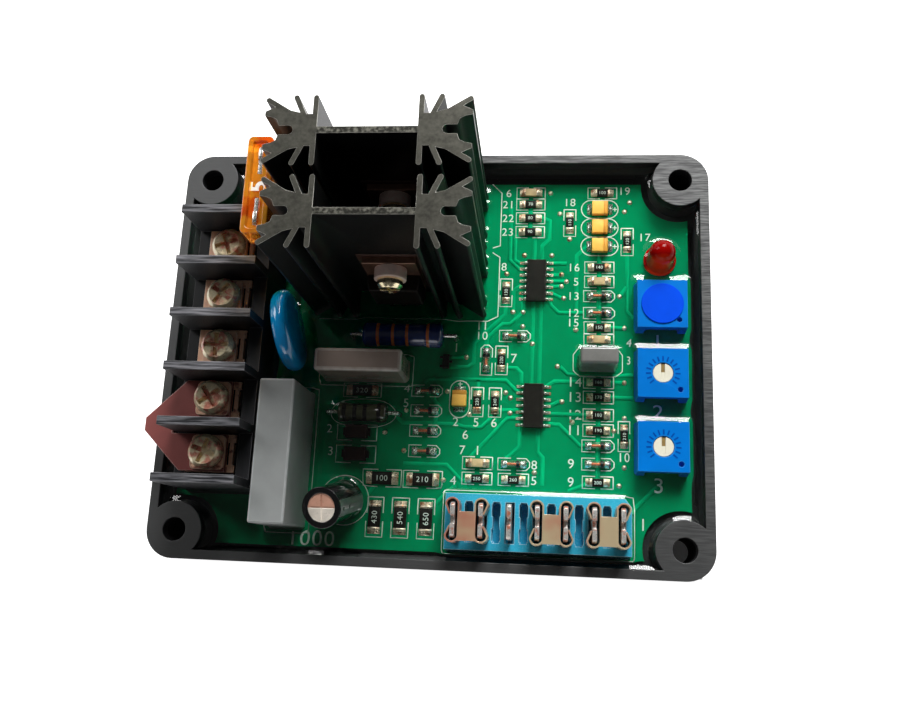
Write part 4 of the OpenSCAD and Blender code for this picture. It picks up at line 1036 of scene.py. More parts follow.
class REGULATOR_OT_resin(RegulatorOperator, bpy.types.Operator):
    """Pour the clear resin, climbing every wall and part that stands in it"""

    bl_idname = "regulator.resin"
    bl_label = "Resin"

    def execute(self, context):
        resin = context.scene.regulator_resin
        low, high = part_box("potting_resin")
        margin = 0.05 * MM
        width, depth = high.x - low.x + 2 * margin, high.y - low.y + 2 * margin
        columns, rows = round(width / resin.step), round(depth / resin.step)
        shores = ((shore_tree(SHORE_NODES), 1.0), (shore_tree(THIN_SHORE_NODES), 0.45))
        bm = bmesh.new()
        grid = []
        for i in range(columns + 1):
            x = low.x - margin + width * i / columns
            column = []
            for j in range(rows + 1):
                point = Vector((x, low.y - margin + depth * j / rows, RESIN_TOP))
                point.z = self.height_at(point, shores, resin)
                column.append(bm.verts.new(point))
            grid.append(column)
        for i in range(columns):
            for j in range(rows):
                if not self.is_dry(grid[i][j].co, grid[i + 1][j + 1].co):
                    bm.faces.new((grid[i][j], grid[i + 1][j], grid[i + 1][j + 1], grid[i][j + 1]))
        bmesh.ops.delete(bm, geom=[v for v in bm.verts if not v.link_faces], context="VERTS")
        self.close_below(bm, low.z + 0.02 * MM)
        mesh = to_mesh("clear_resin", bm)
        mesh.set_sharp_from_angle(angle=math.radians(75))
        show("clear_resin", mesh, self.material(), replaced=("potting_resin",))
        return {"FINISHED"}

    def height_at(self, point, shores, resin):
        """Level of the surface at a point, with its climb beside what stands in it."""
        climb = 0.0
        for shore, share in shores:
            near = max(0.0, 1.0 - distance_to(shore, point) / (resin.reach * (0.4 + 0.6 * share)))
            climb = max(climb, resin.climb * share * near ** 2.2)
        ripple = noise.noise(point * 90.0) * 0.03 * MM
        return RESIN_TOP + climb * (1.0 + 0.08 * noise.noise(point * 150.0)) + ripple

    def is_dry(self, first, second):
        """True inside a fixing boss or well inside a part."""
        x, y = (first.x + second.x) / 2, (first.y + second.y) / 2
        across, along = abs(x) - HOLES["spacing_x_mm"] * MM / 2, abs(y) - HOLES["spacing_y_mm"] * MM / 2
        if math.hypot(across, along) < HOLES["hole_r_mm"] * MM + 2.2 * MM:
            return True
        inset = 0.7 * MM
        for node in DRY_NODES:
            low, high = node_box(node)
            if low.x + inset < x < high.x - inset and low.y + inset < y < high.y - inset:
                return True
        return False

    def close_below(self, bm, level):
        """Draws the border down to a level and closes it there."""
        made = bmesh.ops.extrude_edge_only(bm, edges=[e for e in bm.edges if len(e.link_faces) == 1])["geom"]
        for item in made:
            if isinstance(item, bmesh.types.BMVert):
                item.co.z = level
        border = [e for e in made if isinstance(e, bmesh.types.BMEdge)]
        border = [e for e in border if all(abs(v.co.z - level) < 1e-9 for v in e.verts)]
        bmesh.ops.triangle_fill(bm, use_beauty=False, edges=border)
        bmesh.ops.recalc_face_normals(bm, faces=bm.faces)

    def material(self):
        """Clear casting resin."""
        finish = Finish("casting_resin", (0.9, 0.97, 0.92), 0.02).clear(1.0, 0.02, 1.46)
        finish.raise_by(speckle(finish.tree, 160.0, 2.0), 0.06, 0.25 * MM)
        return finish.lets_lamps_through((0.93, 0.98, 0.94)).material


class REGULATOR_OT_terminals(RegulatorOperator, bpy.types.Operator):
    """Finish the terminal block, its plates, washers, screws and link"""

    bl_idname = "regulator.terminals"
    bl_label = "Terminals"

    def execute(self, context):
        metal = context.scene.regulator_metal
        # The lighter rounded edges of the block, plates, screws and link are partly wear and partly painted
        # edge highlight.
        block = Finish("block_black", context.scene.regulator_plastic.block, 0.5, specular=0.35)
        block.mottle(5 * MM, 0.2).above(FIN_TOP - 0.2 * MM, srgb(170, 170, 176), (160, 2600, 400), 0.55)
        block.grain(0.25 * MM, 0.25, 0.3).edges(srgb(130, 130, 132), 0.6)
        rounded("terminal_block", 0.12 * MM, block.material)
        plate = Finish("plated_strip", metal.plate, 0.36, metallic=0.1)
        plate.patches(srgb(150, 92, 80), 2.2 * MM, 0.3).mottle(1.5 * MM, 0.2).grain(0.3 * MM, 0.25, 0.15)
        plate.edges(srgb(250, 226, 206), 0.8)
        rounded("terminal_plates", 0.12 * MM, plate.material)
        rounded("terminal_washers", 0.15 * MM, plate.material)
        # The screws' pink and brown patches are partly the passivation's own tint and partly painted
        # reflections.
        screw = Finish("passivated", metal.screw, 0.26, metallic=0.2)
        screw.patches(srgb(214, 140, 118), 1.8 * MM, 0.42).patches(srgb(134, 96, 66), 2.2 * MM, 0.22)
        screw.mottle(1.2 * MM, 0.15).grain(0.9 * MM, 0.2, 0.5).edges(srgb(255, 246, 222), 0.7)
        rounded("terminal_screws", 0.14 * MM, screw.material)
        link = Finish("dull_copper", metal.link, 0.48, metallic=0.35)
        link.mottle(4 * MM, 0.12).grain(0.3 * MM, 0.2, 0.15).edges(srgb(236, 196, 186), 0.9)
        rounded("terminal_link", 0.1 * MM, link.material)
        return {"FINISHED"}


class REGULATOR_OT_heatsinks(RegulatorOperator, bpy.types.Operator):
    """Finish the heat sinks, with bare sawn ends"""

    bl_idname = "regulator.heatsinks"
    bl_label = "Heat sinks"

    def execute(self, context):
        material = self.anodised(context.scene.regulator_metal)
        for node in SINKS:
            rounded(node, 0.12 * MM, material, segments=1, only=is_level)
        coat(frame["nodes"]["heatsink_pins"].data, tinned())
        return {"FINISHED"}

    def anodised(self, metal):
        """Black anodised metal, bare and sawn at the top, with bright specks on the end of each web, partly
        sawn grain and partly painted glints, and lighter rounded edges that are partly wear and partly
        painted edge highlight.
        """
        finish = Finish("black_anodised", metal.anodised, 0.42, specular=0.3)
        finish.mottle(4 * MM, 0.25).grain(0.2 * MM, 0.2, 0.15)
        tree = finish.tree
        place = axes(tree)
        end = maths(tree, "GREATER_THAN", place["Z"], SINK_TOP - 0.02 * MM)
        tree.links.new(times(tree, end, 0.75), finish.shader.inputs["Metallic"])
        saw = use(tree, streak_group(), Stretch=(500, 700, 100)).outputs["Value"]
        grains = speckle(tree, 1600.0, 4.0)
        lightness = times(tree, maths(tree, "ADD", saw, grains), 0.9)
        web = 0.0
        for node in SINKS:
            middle = centre(node)
            along = within(tree, place["X"], middle.x, WEB_HALF_LENGTH)
            across = within(tree, place["Y"], middle.y, WEB_HALF_WIDTH)
            web = maths(tree, "MAXIMUM", web, times(tree, along, across))
        # Bright specks on each web's end: sawn grain with painted glints.
        specks_and_glints = times(tree, web, ramp(tree, grains, 0.45, 0.65, -0.5, 1.3))
        lightness = times(tree, lightness, maths(tree, "ADD", 1.0, specks_and_glints))
        sawn = blend_colours(tree, 1.0, tuple(metal.sawn), lightness, "MULTIPLY")
        finish.paint(blend_colours(tree, end, finish.colour, sawn)).edges(srgb(216, 214, 204), 1.3)
        return finish.raise_by(times(tree, saw, end), 0.4, 0.05 * MM).material


class REGULATOR_OT_devices(RegulatorOperator, bpy.types.Operator):
    """Finish the power devices and what holds them to the heat sinks"""

    bl_idname = "regulator.devices"
    bl_label = "Power devices"

    def execute(self, context):
        tab = Finish("tarnished_tab", srgb(132, 98, 82), 0.4, metallic=0.7)
        # Lighter rounded edges on the tab and the pad: partly wear, partly painted edge highlight.
        tab.mottle(1.5 * MM, 0.2).grain(0.3 * MM, 0.25, 0.2).edges(srgb(196, 160, 140), 0.5)
        for place in ("front", "rear"):
            rounded(place + "_device_case", 0.25 * MM, black_epoxy())
            rounded(place + "_device_tab", 0.12 * MM, tab.material)
        rounded("device_leads", 0.06 * MM, tinned(), segments=1)
        pad = Finish("insulating_pad", srgb(66, 40, 32), 0.5).mottle(2 * MM, 0.15).grain(0.2 * MM, 0.2, 0.2)
        pad.edges(srgb(170, 150, 140), 0.9)
        rounded("insulating_pads", 0.04 * MM, pad.material, segments=1)
        bush = Finish("bush_cream", srgb(255, 226, 214), 0.45)
        bush.mottle(1.5 * MM, 0.12).grain(0.2 * MM, 0.2, 0.15)
        rounded("insulating_bushes", 0.15 * MM, bush.material)
        brass = Finish("device_fixing", context.scene.regulator_metal.screw, 0.22, metallic=1.0)
        brass.mottle(1 * MM, 0.3).grain(0.3 * MM, 0.2, 0.12)
        rounded("device_screws", 0.12 * MM, brass.material)
        rounded("device_nuts", 0.15 * MM, brass.material)
        return {"FINISHED"}


class REGULATOR_OT_fuse(RegulatorOperator, bpy.types.Operator):
    """Finish the blade fuse, with its number and test points"""

    bl_idname = "regulator.fuse"
    bl_label = "Fuse"

    def execute(self, context):
        amber = Finish("amber_plastic", context.scene.regulator_plastic.fuse, 0.12, coat=0.4)
        amber.clear(0.6, 0.12, 1.45).patches(srgb(232, 100, 14), 3.5 * MM, 0.4).mottle(2 * MM, 0.2)
        amber.lets_lamps_through((1.0, 0.76, 0.36))
        rounded("fuse_body", 0.22 * MM, amber.material)
        rounded("fuse_element", 0.05 * MM, tinned(), segments=1)
        rounded("fuse_clips", 0.08 * MM, tinned(), segments=1)
        low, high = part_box("fuse_body")
        middle = Vector(((low.x + high.x) / 2, (low.y + high.y) / 2, high.z - 0.78 * MM))
        bm = bmesh.new()
        write_number(bm, 5, middle, 3.2 * MM, math.pi / 2, 0.05 * MM, 0.045)
        white = Finish("fuse_print", srgb(250, 248, 240), 0.5)
        white.mottle(0.6 * MM, 0.08).grain(0.2 * MM, 0.2, 0.1)
        show("fuse_number", to_mesh("fuse_number", bm, False), white.material)
        point = soft_box((0.8 * MM, 2.2 * MM, 0.3 * MM), 0.08 * MM)
        spots = [(middle.x, middle.y + side * 6.1 * MM, middle.z - 0.02 * MM, 0.0) for side in (-1, 1)]
        copies("fuse_test_points", point, spots, tinned())
        return {"FINISHED"}


def long_axis(node):
    """Middle, direction and half length of a node along its longest way, with the direction upwards."""
    points = np.array([v.co for v in frame["nodes"][node].data.vertices])
    middle = (points.min(0) + points.max(0)) / 2
    axis = np.linalg.svd(points - points.mean(0), full_matrices=False)[2][0]
    axis = axis if axis[2] > 0 else -axis
    along = (points - middle) @ axis
    first, last = along.min(), along.max()
    return Vector(middle + axis * (last + first) / 2), Vector(axis), (last - first) / 2


class REGULATOR_OT_capacitors(RegulatorOperator, bpy.types.Operator):
    """Finish the film capacitors, the varistor and the electrolytic capacitor"""

    bl_idname = "regulator.capacitors"
    bl_label = "Capacitors and varistor"

    def execute(self, context):
        plastic = context.scene.regulator_plastic
        grey = Finish("film_grey", plastic.film, 0.32, coat=0.15)
        grey.mottle(5 * MM, 0.1).grain(0.25 * MM, 0.2, 0.12)
        # Lighter rounded edges of both film cases: painted edge highlight.
        grey.edges(srgb(206, 208, 208), 0.7)
        brown = Finish("film_brown", srgb(152, 136, 126), 0.2, coat=0.5)
        brown.mottle(4 * MM, 0.12).grain(0.25 * MM, 0.2, 0.1)
        brown.edges(srgb(214, 204, 194), 0.9)
        small = Finish("film_small_grey", srgb(128, 128, 124), 0.24, coat=0.3)
        small.mottle(3 * MM, 0.12).grain(0.25 * MM, 0.2, 0.1)
        rounded("film_capacitor_large", 0.4 * MM, grey.material, segments=3)
        rounded("film_capacitor_medium", 0.7 * MM, brown.material, segments=3)
        rounded("film_capacitor_small", 0.6 * MM, small.material, segments=3)
        self.varistor(plastic)
        self.electrolytic()
        for node in ("capacitor_leads", "varistor_leads", "electrolytic_leads"):
            rounded(node, 0.0, tinned())
        return {"FINISHED"}

    def varistor(self, plastic):
        """Dipped disc with a slightly uneven coat."""
        low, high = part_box("varistor")
        middle, half = (low + high) / 2, (high - low) / 2
        turn = math.radians(12)
        radius = half.z
        thick = (half.x - radius * math.sin(turn)) / math.cos(turn)
        outline = tube_outline(radius, -thick, thick, thick * 0.85)
        stand = Matrix.Rotation(turn, 4, "Z") @ Matrix.Rotation(math.pi / 2, 4, "Y")
        bm = lathe(outline, 64, Matrix.Translation(middle) @ stand)
        for vertex in bm.verts:
            vertex.co += (middle - vertex.co) * 0.02 * (0.5 + 0.5 * noise.noise(vertex.co * 260))
        blue = Finish("varistor_coat", plastic.varistor, 0.12, coat=0.5)
        blue.mottle(3 * MM, 0.1).grain(0.8 * MM, 0.12, 0.12)
        mesh = to_mesh("varistor_disc", bm)
        show("varistor_disc", mesh, blue.material, replaced=("varistor",))

    def electrolytic(self):
        """Can with scored top, its rear half painted darker and pinker as a painted reflection, and a sleeve
        with its stripe.
        """
        middle, axis, half = long_axis("electrolytic_sleeve")
        can = Finish("bare_can", srgb(240, 228, 214), 0.3, metallic=0.1)
        # The top's rear half is painted darker and pinker than its front half: a painted reflection.
        rear = maths(can.tree, "GREATER_THAN", axes(can.tree)["Y"], (middle + axis * half).y)
        can.paint(blend_colours(can.tree, rear, srgb(246, 236, 222), srgb(222, 168, 144)))
        can.mottle(1.5 * MM, 0.12).grain(0.3 * MM, 0.2, 0.12)
        rounded("electrolytic_can", 0.1 * MM, can.material)
        sleeve = Finish("shrink_sleeve", srgb(14, 14, 15), 0.16, coat=0.6)
        sleeve.mottle(2 * MM, 0.2).grain(0.5 * MM, 0.15, 0.1)
        rounded("electrolytic_sleeve", 0.18 * MM, sleeve.material)
        grey = Finish("sleeve_stripe", srgb(232, 234, 234), 0.3, coat=0.3)
        grey.mottle(2 * MM, 0.1).grain(0.4 * MM, 0.15, 0.1)
        can_axis = (middle, axis, half)
        self.patch("electrolytic_stripe", can_axis, (-24, 24), (-0.96, 0.94), 3.82 * MM, grey.material)
        self.patch("electrolytic_mark_1", can_axis, (-7, 3), (0.66, 0.76), 3.84 * MM, sleeve.material)
        self.patch("electrolytic_mark_2", can_axis, (-7, 3), (0.16, 0.26), 3.84 * MM, sleeve.material)

    def patch(self, name, can_axis, turns, shares, radius, material):
        """A printed patch on the sleeve, between two turns in degrees and two shares of its half length."""
        middle, axis, half = can_axis
        side = Vector((1, 0, 0))
        side = (side - axis * side.dot(axis)).normalized()
        across = axis.cross(side)
        bm = bmesh.new()
        rows = []
        for k in range(9):
            angle = math.radians(turns[0] + (turns[1] - turns[0]) * k / 8)
            foot = middle + (side * math.cos(angle) + across * math.sin(angle)) * radius
            rows.append([bm.verts.new(foot + axis * half * share) for share in shares])
        for a, b in zip(rows, rows[1:]):
            bm.faces.new((a[0], b[0], b[1], a[1]))
        bmesh.ops.solidify(bm, geom=bm.faces[:], thickness=-0.02 * MM)
        show(name, to_mesh(name, bm), material)


def resistor_shape(node):
    """A lying resistor as one smooth turned body with swollen ends."""
    low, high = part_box(node)
    middle, half, radius = (low + high) / 2, (high.x - low.x) / 2, (high.z - low.z) / 2
    outline = []
    count = 40
    for k in range(count + 1):
        share = 2 * k / count - 1
        end = min(1.0, (1 - abs(share)) / 0.12)
        swell = 0.9 + 0.1 * (1 / (1 + math.exp(-(abs(share) - 0.6) * 26)))
        outline.append((radius * swell * math.sqrt(max(0.0, 1 - (1 - end) ** 2)), half * share))
    lying = Matrix.Translation(middle) @ Matrix.Rotation(math.pi / 2, 4, "Y")
    return to_mesh(node + "_body", lathe(outline, 40, lying))


class REGULATOR_OT_resistors(RegulatorOperator, bpy.types.Operator):
    """Finish the lying resistors with their colour bands"""

    bl_idname = "regulator.resistors"
    bl_label = "Resistors"

    def execute(self, context):
        navy = Finish("navy_lacquer", srgb(26, 48, 104), 0.2, coat=0.4).mottle(2 * MM, 0.12)
        navy.bands("X", self.along("power_resistor", 0.21, 0.39, 0.56, 0.81), 0.6 * MM, srgb(206, 112, 60))
        olive = Finish("olive_lacquer", srgb(58, 60, 40), 0.22, coat=0.4).mottle(2 * MM, 0.12)
        olive.bands("X", self.along("axial_resistor", 0.15, 0.36, 0.56, 0.84), 0.8 * MM, srgb(16, 14, 10))
        for node, lacquer, slot in (
            ("power_resistor", navy, "resistor_navy"),
            ("axial_resistor", olive, "resistor_olive"),
        ):
            lacquer.grain(0.4 * MM, 0.15, 0.1)
            show(node + "_body", resistor_shape(node), lacquer.material, replaced=(node,))
        rounded("resistor_leads", 0.0, tinned())
        return {"FINISHED"}

    def along(self, node, *shares):
        """Places at shares of a body's length."""
        low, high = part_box(node)
        return [low.x + (high.x - low.x) * share for share in shares]


class REGULATOR_OT_header(RegulatorOperator, bpy.types.Operator):
    """Finish the jumper header, its tabs and its plug-in links"""

    bl_idname = "regulator.header"
    bl_label = "Jumper header"

    def execute(self, context):
        blue = Finish("header_blue", context.scene.regulator_plastic.header, 0.26, coat=0.2)
        # Near-white rounded edges on the base: painted edge highlight.
        blue.mottle(5 * MM, 0.08).grain(0.3 * MM, 0.2, 0.1).edges(srgb(226, 250, 252), 0.9)
        rounded("jumper_base", 0.18 * MM, blue.material)
        tab = Finish("plated_tab", context.scene.regulator_metal.tin, 0.3, metallic=0.5)
        tab.patches(srgb(190, 120, 98), 1.2 * MM, 0.4).mottle(1.2 * MM, 0.25).grain(0.3 * MM, 0.3, 0.15)
        # Lighter rounded edges on tabs and links: partly wear, partly painted edge highlight.
        tab.edges(srgb(255, 250, 240), 0.9)
        rounded("jumper_tabs", 0.08 * MM, tab.material, segments=1)
        link = Finish("folded_sheet", context.scene.regulator_metal.jumper, 0.3, metallic=0.4)
        link.patches(srgb(196, 126, 104), 12 * MM, 0.5).mottle(6 * MM, 0.08).grain(0.35 * MM, 0.1)
        link.edges(srgb(250, 232, 206), 0.9)
        for number in (1, 2, 3):
            rounded(f"jumper_link_{number}", 0.05 * MM, link.material, segments=1)
        return {"FINISHED"}


class REGULATOR_OT_trimmers(RegulatorOperator, bpy.types.Operator):
    """Finish the trimmers, with marks round the second and third rotors"""

    bl_idname = "regulator.trimmers"
    bl_label = "Trimmers"

    def execute(self, context):
        plastic = context.scene.regulator_plastic
        blue = Finish("trimmer_blue", plastic.trimmer, 0.45, specular=0.05)
        blue.mottle(4 * MM, 0.08).grain(0.25 * MM, 0.2, 0.12)
        # Lighter rounded edges on the housings: painted edge highlight.
        blue.edges(srgb(120, 186, 240), 0.35)
        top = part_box("trimmer_housing_1")[1].z
        cream = Finish("rotor_cream", plastic.rotor, 0.4).mottle(1.5 * MM, 0.06).grain(0.25 * MM, 0.2, 0.1)
        slot_brown = Finish("pointer_wax", srgb(150, 124, 70), 0.4).mottle(0.6 * MM, 0.2).grain(0.2 * MM, 0.2, 0.1)
        mark = Finish("dial_marks", srgb(0, 76, 170), 0.45, specular=0.05)
        mark.mottle(1 * MM, 0.1).grain(0.2 * MM, 0.2, 0.1)
        for number, body in zip((1, 2, 3), ROTOR_BODIES):
            rounded(f"trimmer_housing_{number}", 0.2 * MM, blue.material)
            rounded(f"trimmer_rotor_{number}", 0.08 * MM, cream.material, body)
            if number > 1:
                self.dial(context, number, top, mark.material)
                self.pointer(number, slot_brown.material, cream.material, body)
        seal = Finish("seal_blue", plastic.seal, 0.45, specular=0.05)
        seal.mottle(3 * MM, 0.06).grain(0.25 * MM, 0.15, 0.08)
        rounded("trimmer_seal", 0.08 * MM, seal.material)
        coat(frame["nodes"]["trimmer_pins"].data, tinned())
        return {"FINISHED"}

    def pointer(self, number, slot_brown, cream, body):
        """Brown in the outer half of a rotor's slot, and a cream filling in the other half."""
        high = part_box(f"trimmer_rotor_{number}")[1]
        x, y = centre(f"trimmer_rotor_{number}").xy
        for name, material, half, near, far, top in (
            ("pointer", slot_brown, 0.3 * MM, y + 0.1 * MM, high.y - 0.15 * MM, high.z - 0.1 * MM),
            ("filling", cream, 0.33 * MM, y - 1.33 * MM, y + 0.1 * MM, high.z - 0.04 * MM),
        ):
            bm = bmesh.new()
            box_shape(bm, (x - half, near, high.z - 0.8 * MM), (x + half, far, top))
            show(f"trimmer_{name}_{number}", to_mesh(name, bm, False), material, body)

    def dial(self, context, number, top, material):
        """Marks round one rotor, raised a little from the housing."""
        values = {
            "Count": context.scene.regulator_plastic.dial_ticks,
            "Radius": 2.75 * MM,
            "Sweep": math.radians(260),
            "Mark": (0.3 * MM, 0.95 * MM, 0.06 * MM),
            "Material": material,
        }
        mesh = grown(bpy.data.meshes.new("dial"), dial_tree(), values)
        mesh.transform(Matrix.Translation((*centre(f"trimmer_rotor_{number}").xy, top)))
        show(f"trimmer_dial_{number}", mesh, material)


class REGULATOR_OT_lamp(RegulatorOperator, bpy.types.Operator):
    """Finish the indicator lamp"""

    bl_idname = "regulator.lamp"
    bl_label = "Lamp"

    def execute(self, context):
        low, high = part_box("led_lens")
        red = Finish("tinted_lens", context.scene.regulator_plastic.lamp, 0.06, specular=0.1)
        tree = red.tree
        # The lens's front is painted orange and glows, though the lamp is not lit: painted light from lamps
        # shining through the lens.
        front = ramp(tree, axes(tree)["Y"], low.y + 2 * MM, low.y)
        red.paint(blend_colours(tree, front, red.colour, srgb(236, 60, 14))).mottle(2 * MM, 0.12)
        glow = blend_colours(tree, front, (0.0, 0.0, 0.0), srgb(226, 44, 10))
        tree.links.new(glow, red.shader.inputs["Emission Color"])
        red.shader.inputs["Emission Strength"].default_value = 0.16
        middle, radius = (low + high) / 2, (high.x - low.x) / 2
        dome = radius * 0.87
        spring = high.z - dome
        rim = low.z + 1.0 * MM
        outline = [(0, low.z), (radius, low.z), (radius, rim - 0.1 * MM), (radius - 0.12 * MM, rim)]
        outline += [(dome + 0.05 * MM, rim), (dome, rim + 0.15 * MM)]
        steps = [math.pi / 2 * k / 10 for k in range(11)]
        outline += [(dome * math.cos(a), spring + dome * math.sin(a)) for a in steps[:-1]] + [(0, high.z)]
        bm = lathe(outline, 48, Matrix.Translation((middle.x, middle.y, 0)))
        mesh = to_mesh("lamp_lens", bm)
        mesh.set_sharp_from_angle(angle=math.radians(50))
        show("lamp_lens", mesh, red.material, replaced=("led_lens",))
        coat(frame["nodes"]["led_leads"].data, tinned())
        return {"FINISHED"}


class REGULATOR_OT_chips(RegulatorOperator, bpy.types.Operator):
    """Finish the surface-mounted parts with their metal ends and solder"""

    bl_idname = "regulator.chips"
    bl_label = "Surface-mounted parts"

    def execute(self, context):
        ceramic = Finish("fired_ceramic", srgb(190, 160, 122), 0.4, specular=0.2)
        ceramic.mottle(1 * MM, 0.12).grain(0.15 * MM, 0.2, 0.15)
        self.chip_row("chip_resistors", black_epoxy(), "chip_black", (70, 10, 0.62 * MM))
        self.chip_row("power_chip_resistors", black_epoxy(), "chip_black", (100, 110, 1.05 * MM))
        self.chip_row("ceramic_capacitors", ceramic.material, "ceramic_tan")
        self.tantalums()
        self.diodes()
        rounded("ic_bodies", 0.1 * MM, black_epoxy())
        rounded("ic_leads", 0.03 * MM, tinned(), segments=1)
        bm = bmesh.new()
        for low, high in solids("ic_leads"):
            grow = Vector((0.35 * MM, 0.06 * MM, 0))
            box_shape(bm, low - grow, Vector((high.x, high.y, BOARD_TOP + 0.16 * MM)) + grow)
        show("ic_solder", to_mesh("ic_solder", bm, False), solder())
        brown = Finish("brown_epoxy", srgb(34, 16, 13), 0.4, specular=0.08)
        brown.mottle(1.2 * MM, 0.2).grain(0.12 * MM, 0.25, 0.25)
        rounded("rectifier_diodes", 0.12 * MM, brown.material)
        rounded("small_transistor", 0.08 * MM, black_epoxy())
        return {"FINISHED"}

    def ends(self, name, spots, size, slot):
        """Metal ends and solder at both ends of each chip."""
        bm = bmesh.new()
        cap, foot = 0.55 * MM, 0.7 * MM
        for side in (-1, 1):
            steps = [(-cap, 0.0, size.z + 0.02 * MM)]
            for k in range(4):
                tall = size.z * 0.8 * (1 - k / 4) ** 2 + 0.05 * MM
                steps.append((foot * k / 4, foot * (k + 1) / 4, tall))
            for near, far, tall in steps:
                across = sorted((side * (size.x / 2 + near), side * (size.x / 2 + far)))
                box_shape(bm, (across[0], -size.y / 2, 0), (across[1], size.y / 2, tall))
        bmesh.ops.bevel(bm, geom=list(bm.edges), offset=0.04 * MM, segments=1, profile=0.5, affect="EDGES")
        copies(name, to_mesh(name, bm), spots, solder())

    def chip_row(self, node, material, slot, numbers=None):
        """Chips of one size: bodies and metal ends, with plain numbers: the first, their step and height."""
        spots, size = places(node)
        body = soft_box((size.x - 0.9 * MM, size.y - 0.06 * MM, size.z - 0.02 * MM), 0.05 * MM)
        copies(node + "_bodies", body, spots, material, (node,))
        self.ends(node + "_ends", spots, size, slot)
        if numbers:
            first, step, height = numbers
            bm = bmesh.new()
            for k, (x, y, z, turn) in enumerate(spots):
                write_number(bm, first + step * k, (x, y, z + size.z), height, turn)
            show(node + "_numbers", to_mesh(node + "_numbers", bm, False), ink())

    def tantalums(self):
        """Moulded cases with a darker stripe at the positive end, on folded metal ends."""
        spots, size = places("tantalum_capacitors")
        yellow = Finish("tantalum_yellow", srgb(238, 178, 84), 0.38, specular=0.2)
        yellow.mottle(1.5 * MM, 0.1).grain(0.15 * MM, 0.2, 0.15)
        orange = Finish("tantalum_stripe", srgb(208, 142, 58), 0.38, specular=0.2)
        orange.mottle(1.5 * MM, 0.1).grain(0.15 * MM, 0.2, 0.15)
        long, wide, tall = size.x - 0.4 * MM, size.y, size.z - 0.15 * MM
        stripe = 0.8 * MM
        main = soft_box((long - stripe, wide, tall), 0.12 * MM, (-stripe / 2, 0, 0.15 * MM))
        band = soft_box((stripe + 0.05 * MM, wide, tall), 0.12 * MM, ((long - stripe) / 2, 0, 0.15 * MM))
        copies("tantalum_cases", main, spots, yellow.material, ("tantalum_capacitors",))
        copies("tantalum_stripes", band, spots, orange.material)
        bm = bmesh.new()
        for side in (-1, 1):
            edge = side * size.x / 2
            for low, high, tallness in ((0.0, 0.12, 1.2), (0.12, 0.8, 0.12)):
                near, far = edge + side * low * MM, edge + side * high * MM
                box_shape(bm, (min(near, far), -1.1 * MM, 0), (max(near, far), 1.1 * MM, tallness * MM))
        copies("tantalum_ends", to_mesh("tantalum_end", bm), spots, tinned())

    def diodes(self):
        """Glass tubes with metal caps, a copper core and a black band at one end."""
        spots, size = places("glass_diodes")
        radius, half = size.y / 2, size.x / 2
        lying = Matrix.Translation((0, 0, radius)) @ Matrix.Rotation(math.pi / 2, 4, "Y")
        glass = Finish("diode_glass", srgb(150, 140, 128), 0.08, coat=0.5).mottle(1 * MM, 0.1)
        glass.shader.inputs["Alpha"].default_value = 0.16
        core = Finish("diode_core", srgb(206, 96, 52), 0.34, metallic=0.4)
        core.mottle(0.6 * MM, 0.2).grain(0.2 * MM, 0.2, 0.1)
        band = Finish("diode_band", srgb(12, 11, 11), 0.3).mottle(0.6 * MM, 0.1).grain(0.2 * MM, 0.2, 0.1)
        tube = tube_outline(radius * 0.94, -half + 0.2 * MM, half - 0.2 * MM, 0.1 * MM)
        rod = tube_outline(radius * 0.36, -half + 0.3 * MM, half - 0.3 * MM, 0.05 * MM)
        ring = tube_outline(radius * 0.98, 0.28 * half, 0.62 * half, 0.05 * MM)
        for name, outline, sides, finish, replaced in (
            ("diode_tubes", tube, 20, glass, ("glass_diodes",)),
            ("diode_cores", rod, 14, core, ()),
            ("diode_bands", ring, 20, band, ()),
        ):
            shape = to_mesh(name, lathe(outline, sides, lying))
            copies(name, shape, spots, finish.material, replaced)
        bm = bmesh.new()
        for low, high in ((-half, -half + 0.5 * MM), (half - 0.5 * MM, half)):
            cap = to_mesh("cap", lathe(tube_outline(radius, low, high, 0.08 * MM), 20, lying))
            bm.from_mesh(cap)
            bpy.data.meshes.remove(cap)
        for side in (-1, 1):
            near, far = side * (half - 0.4 * MM), side * (half + 0.7 * MM)
            box_shape(bm, (min(near, far), -0.75 * MM, 0), (max(near, far), 0.75 * MM, 0.14 * MM))
        copies("diode_caps", to_mesh("caps", bm), spots, tinned())


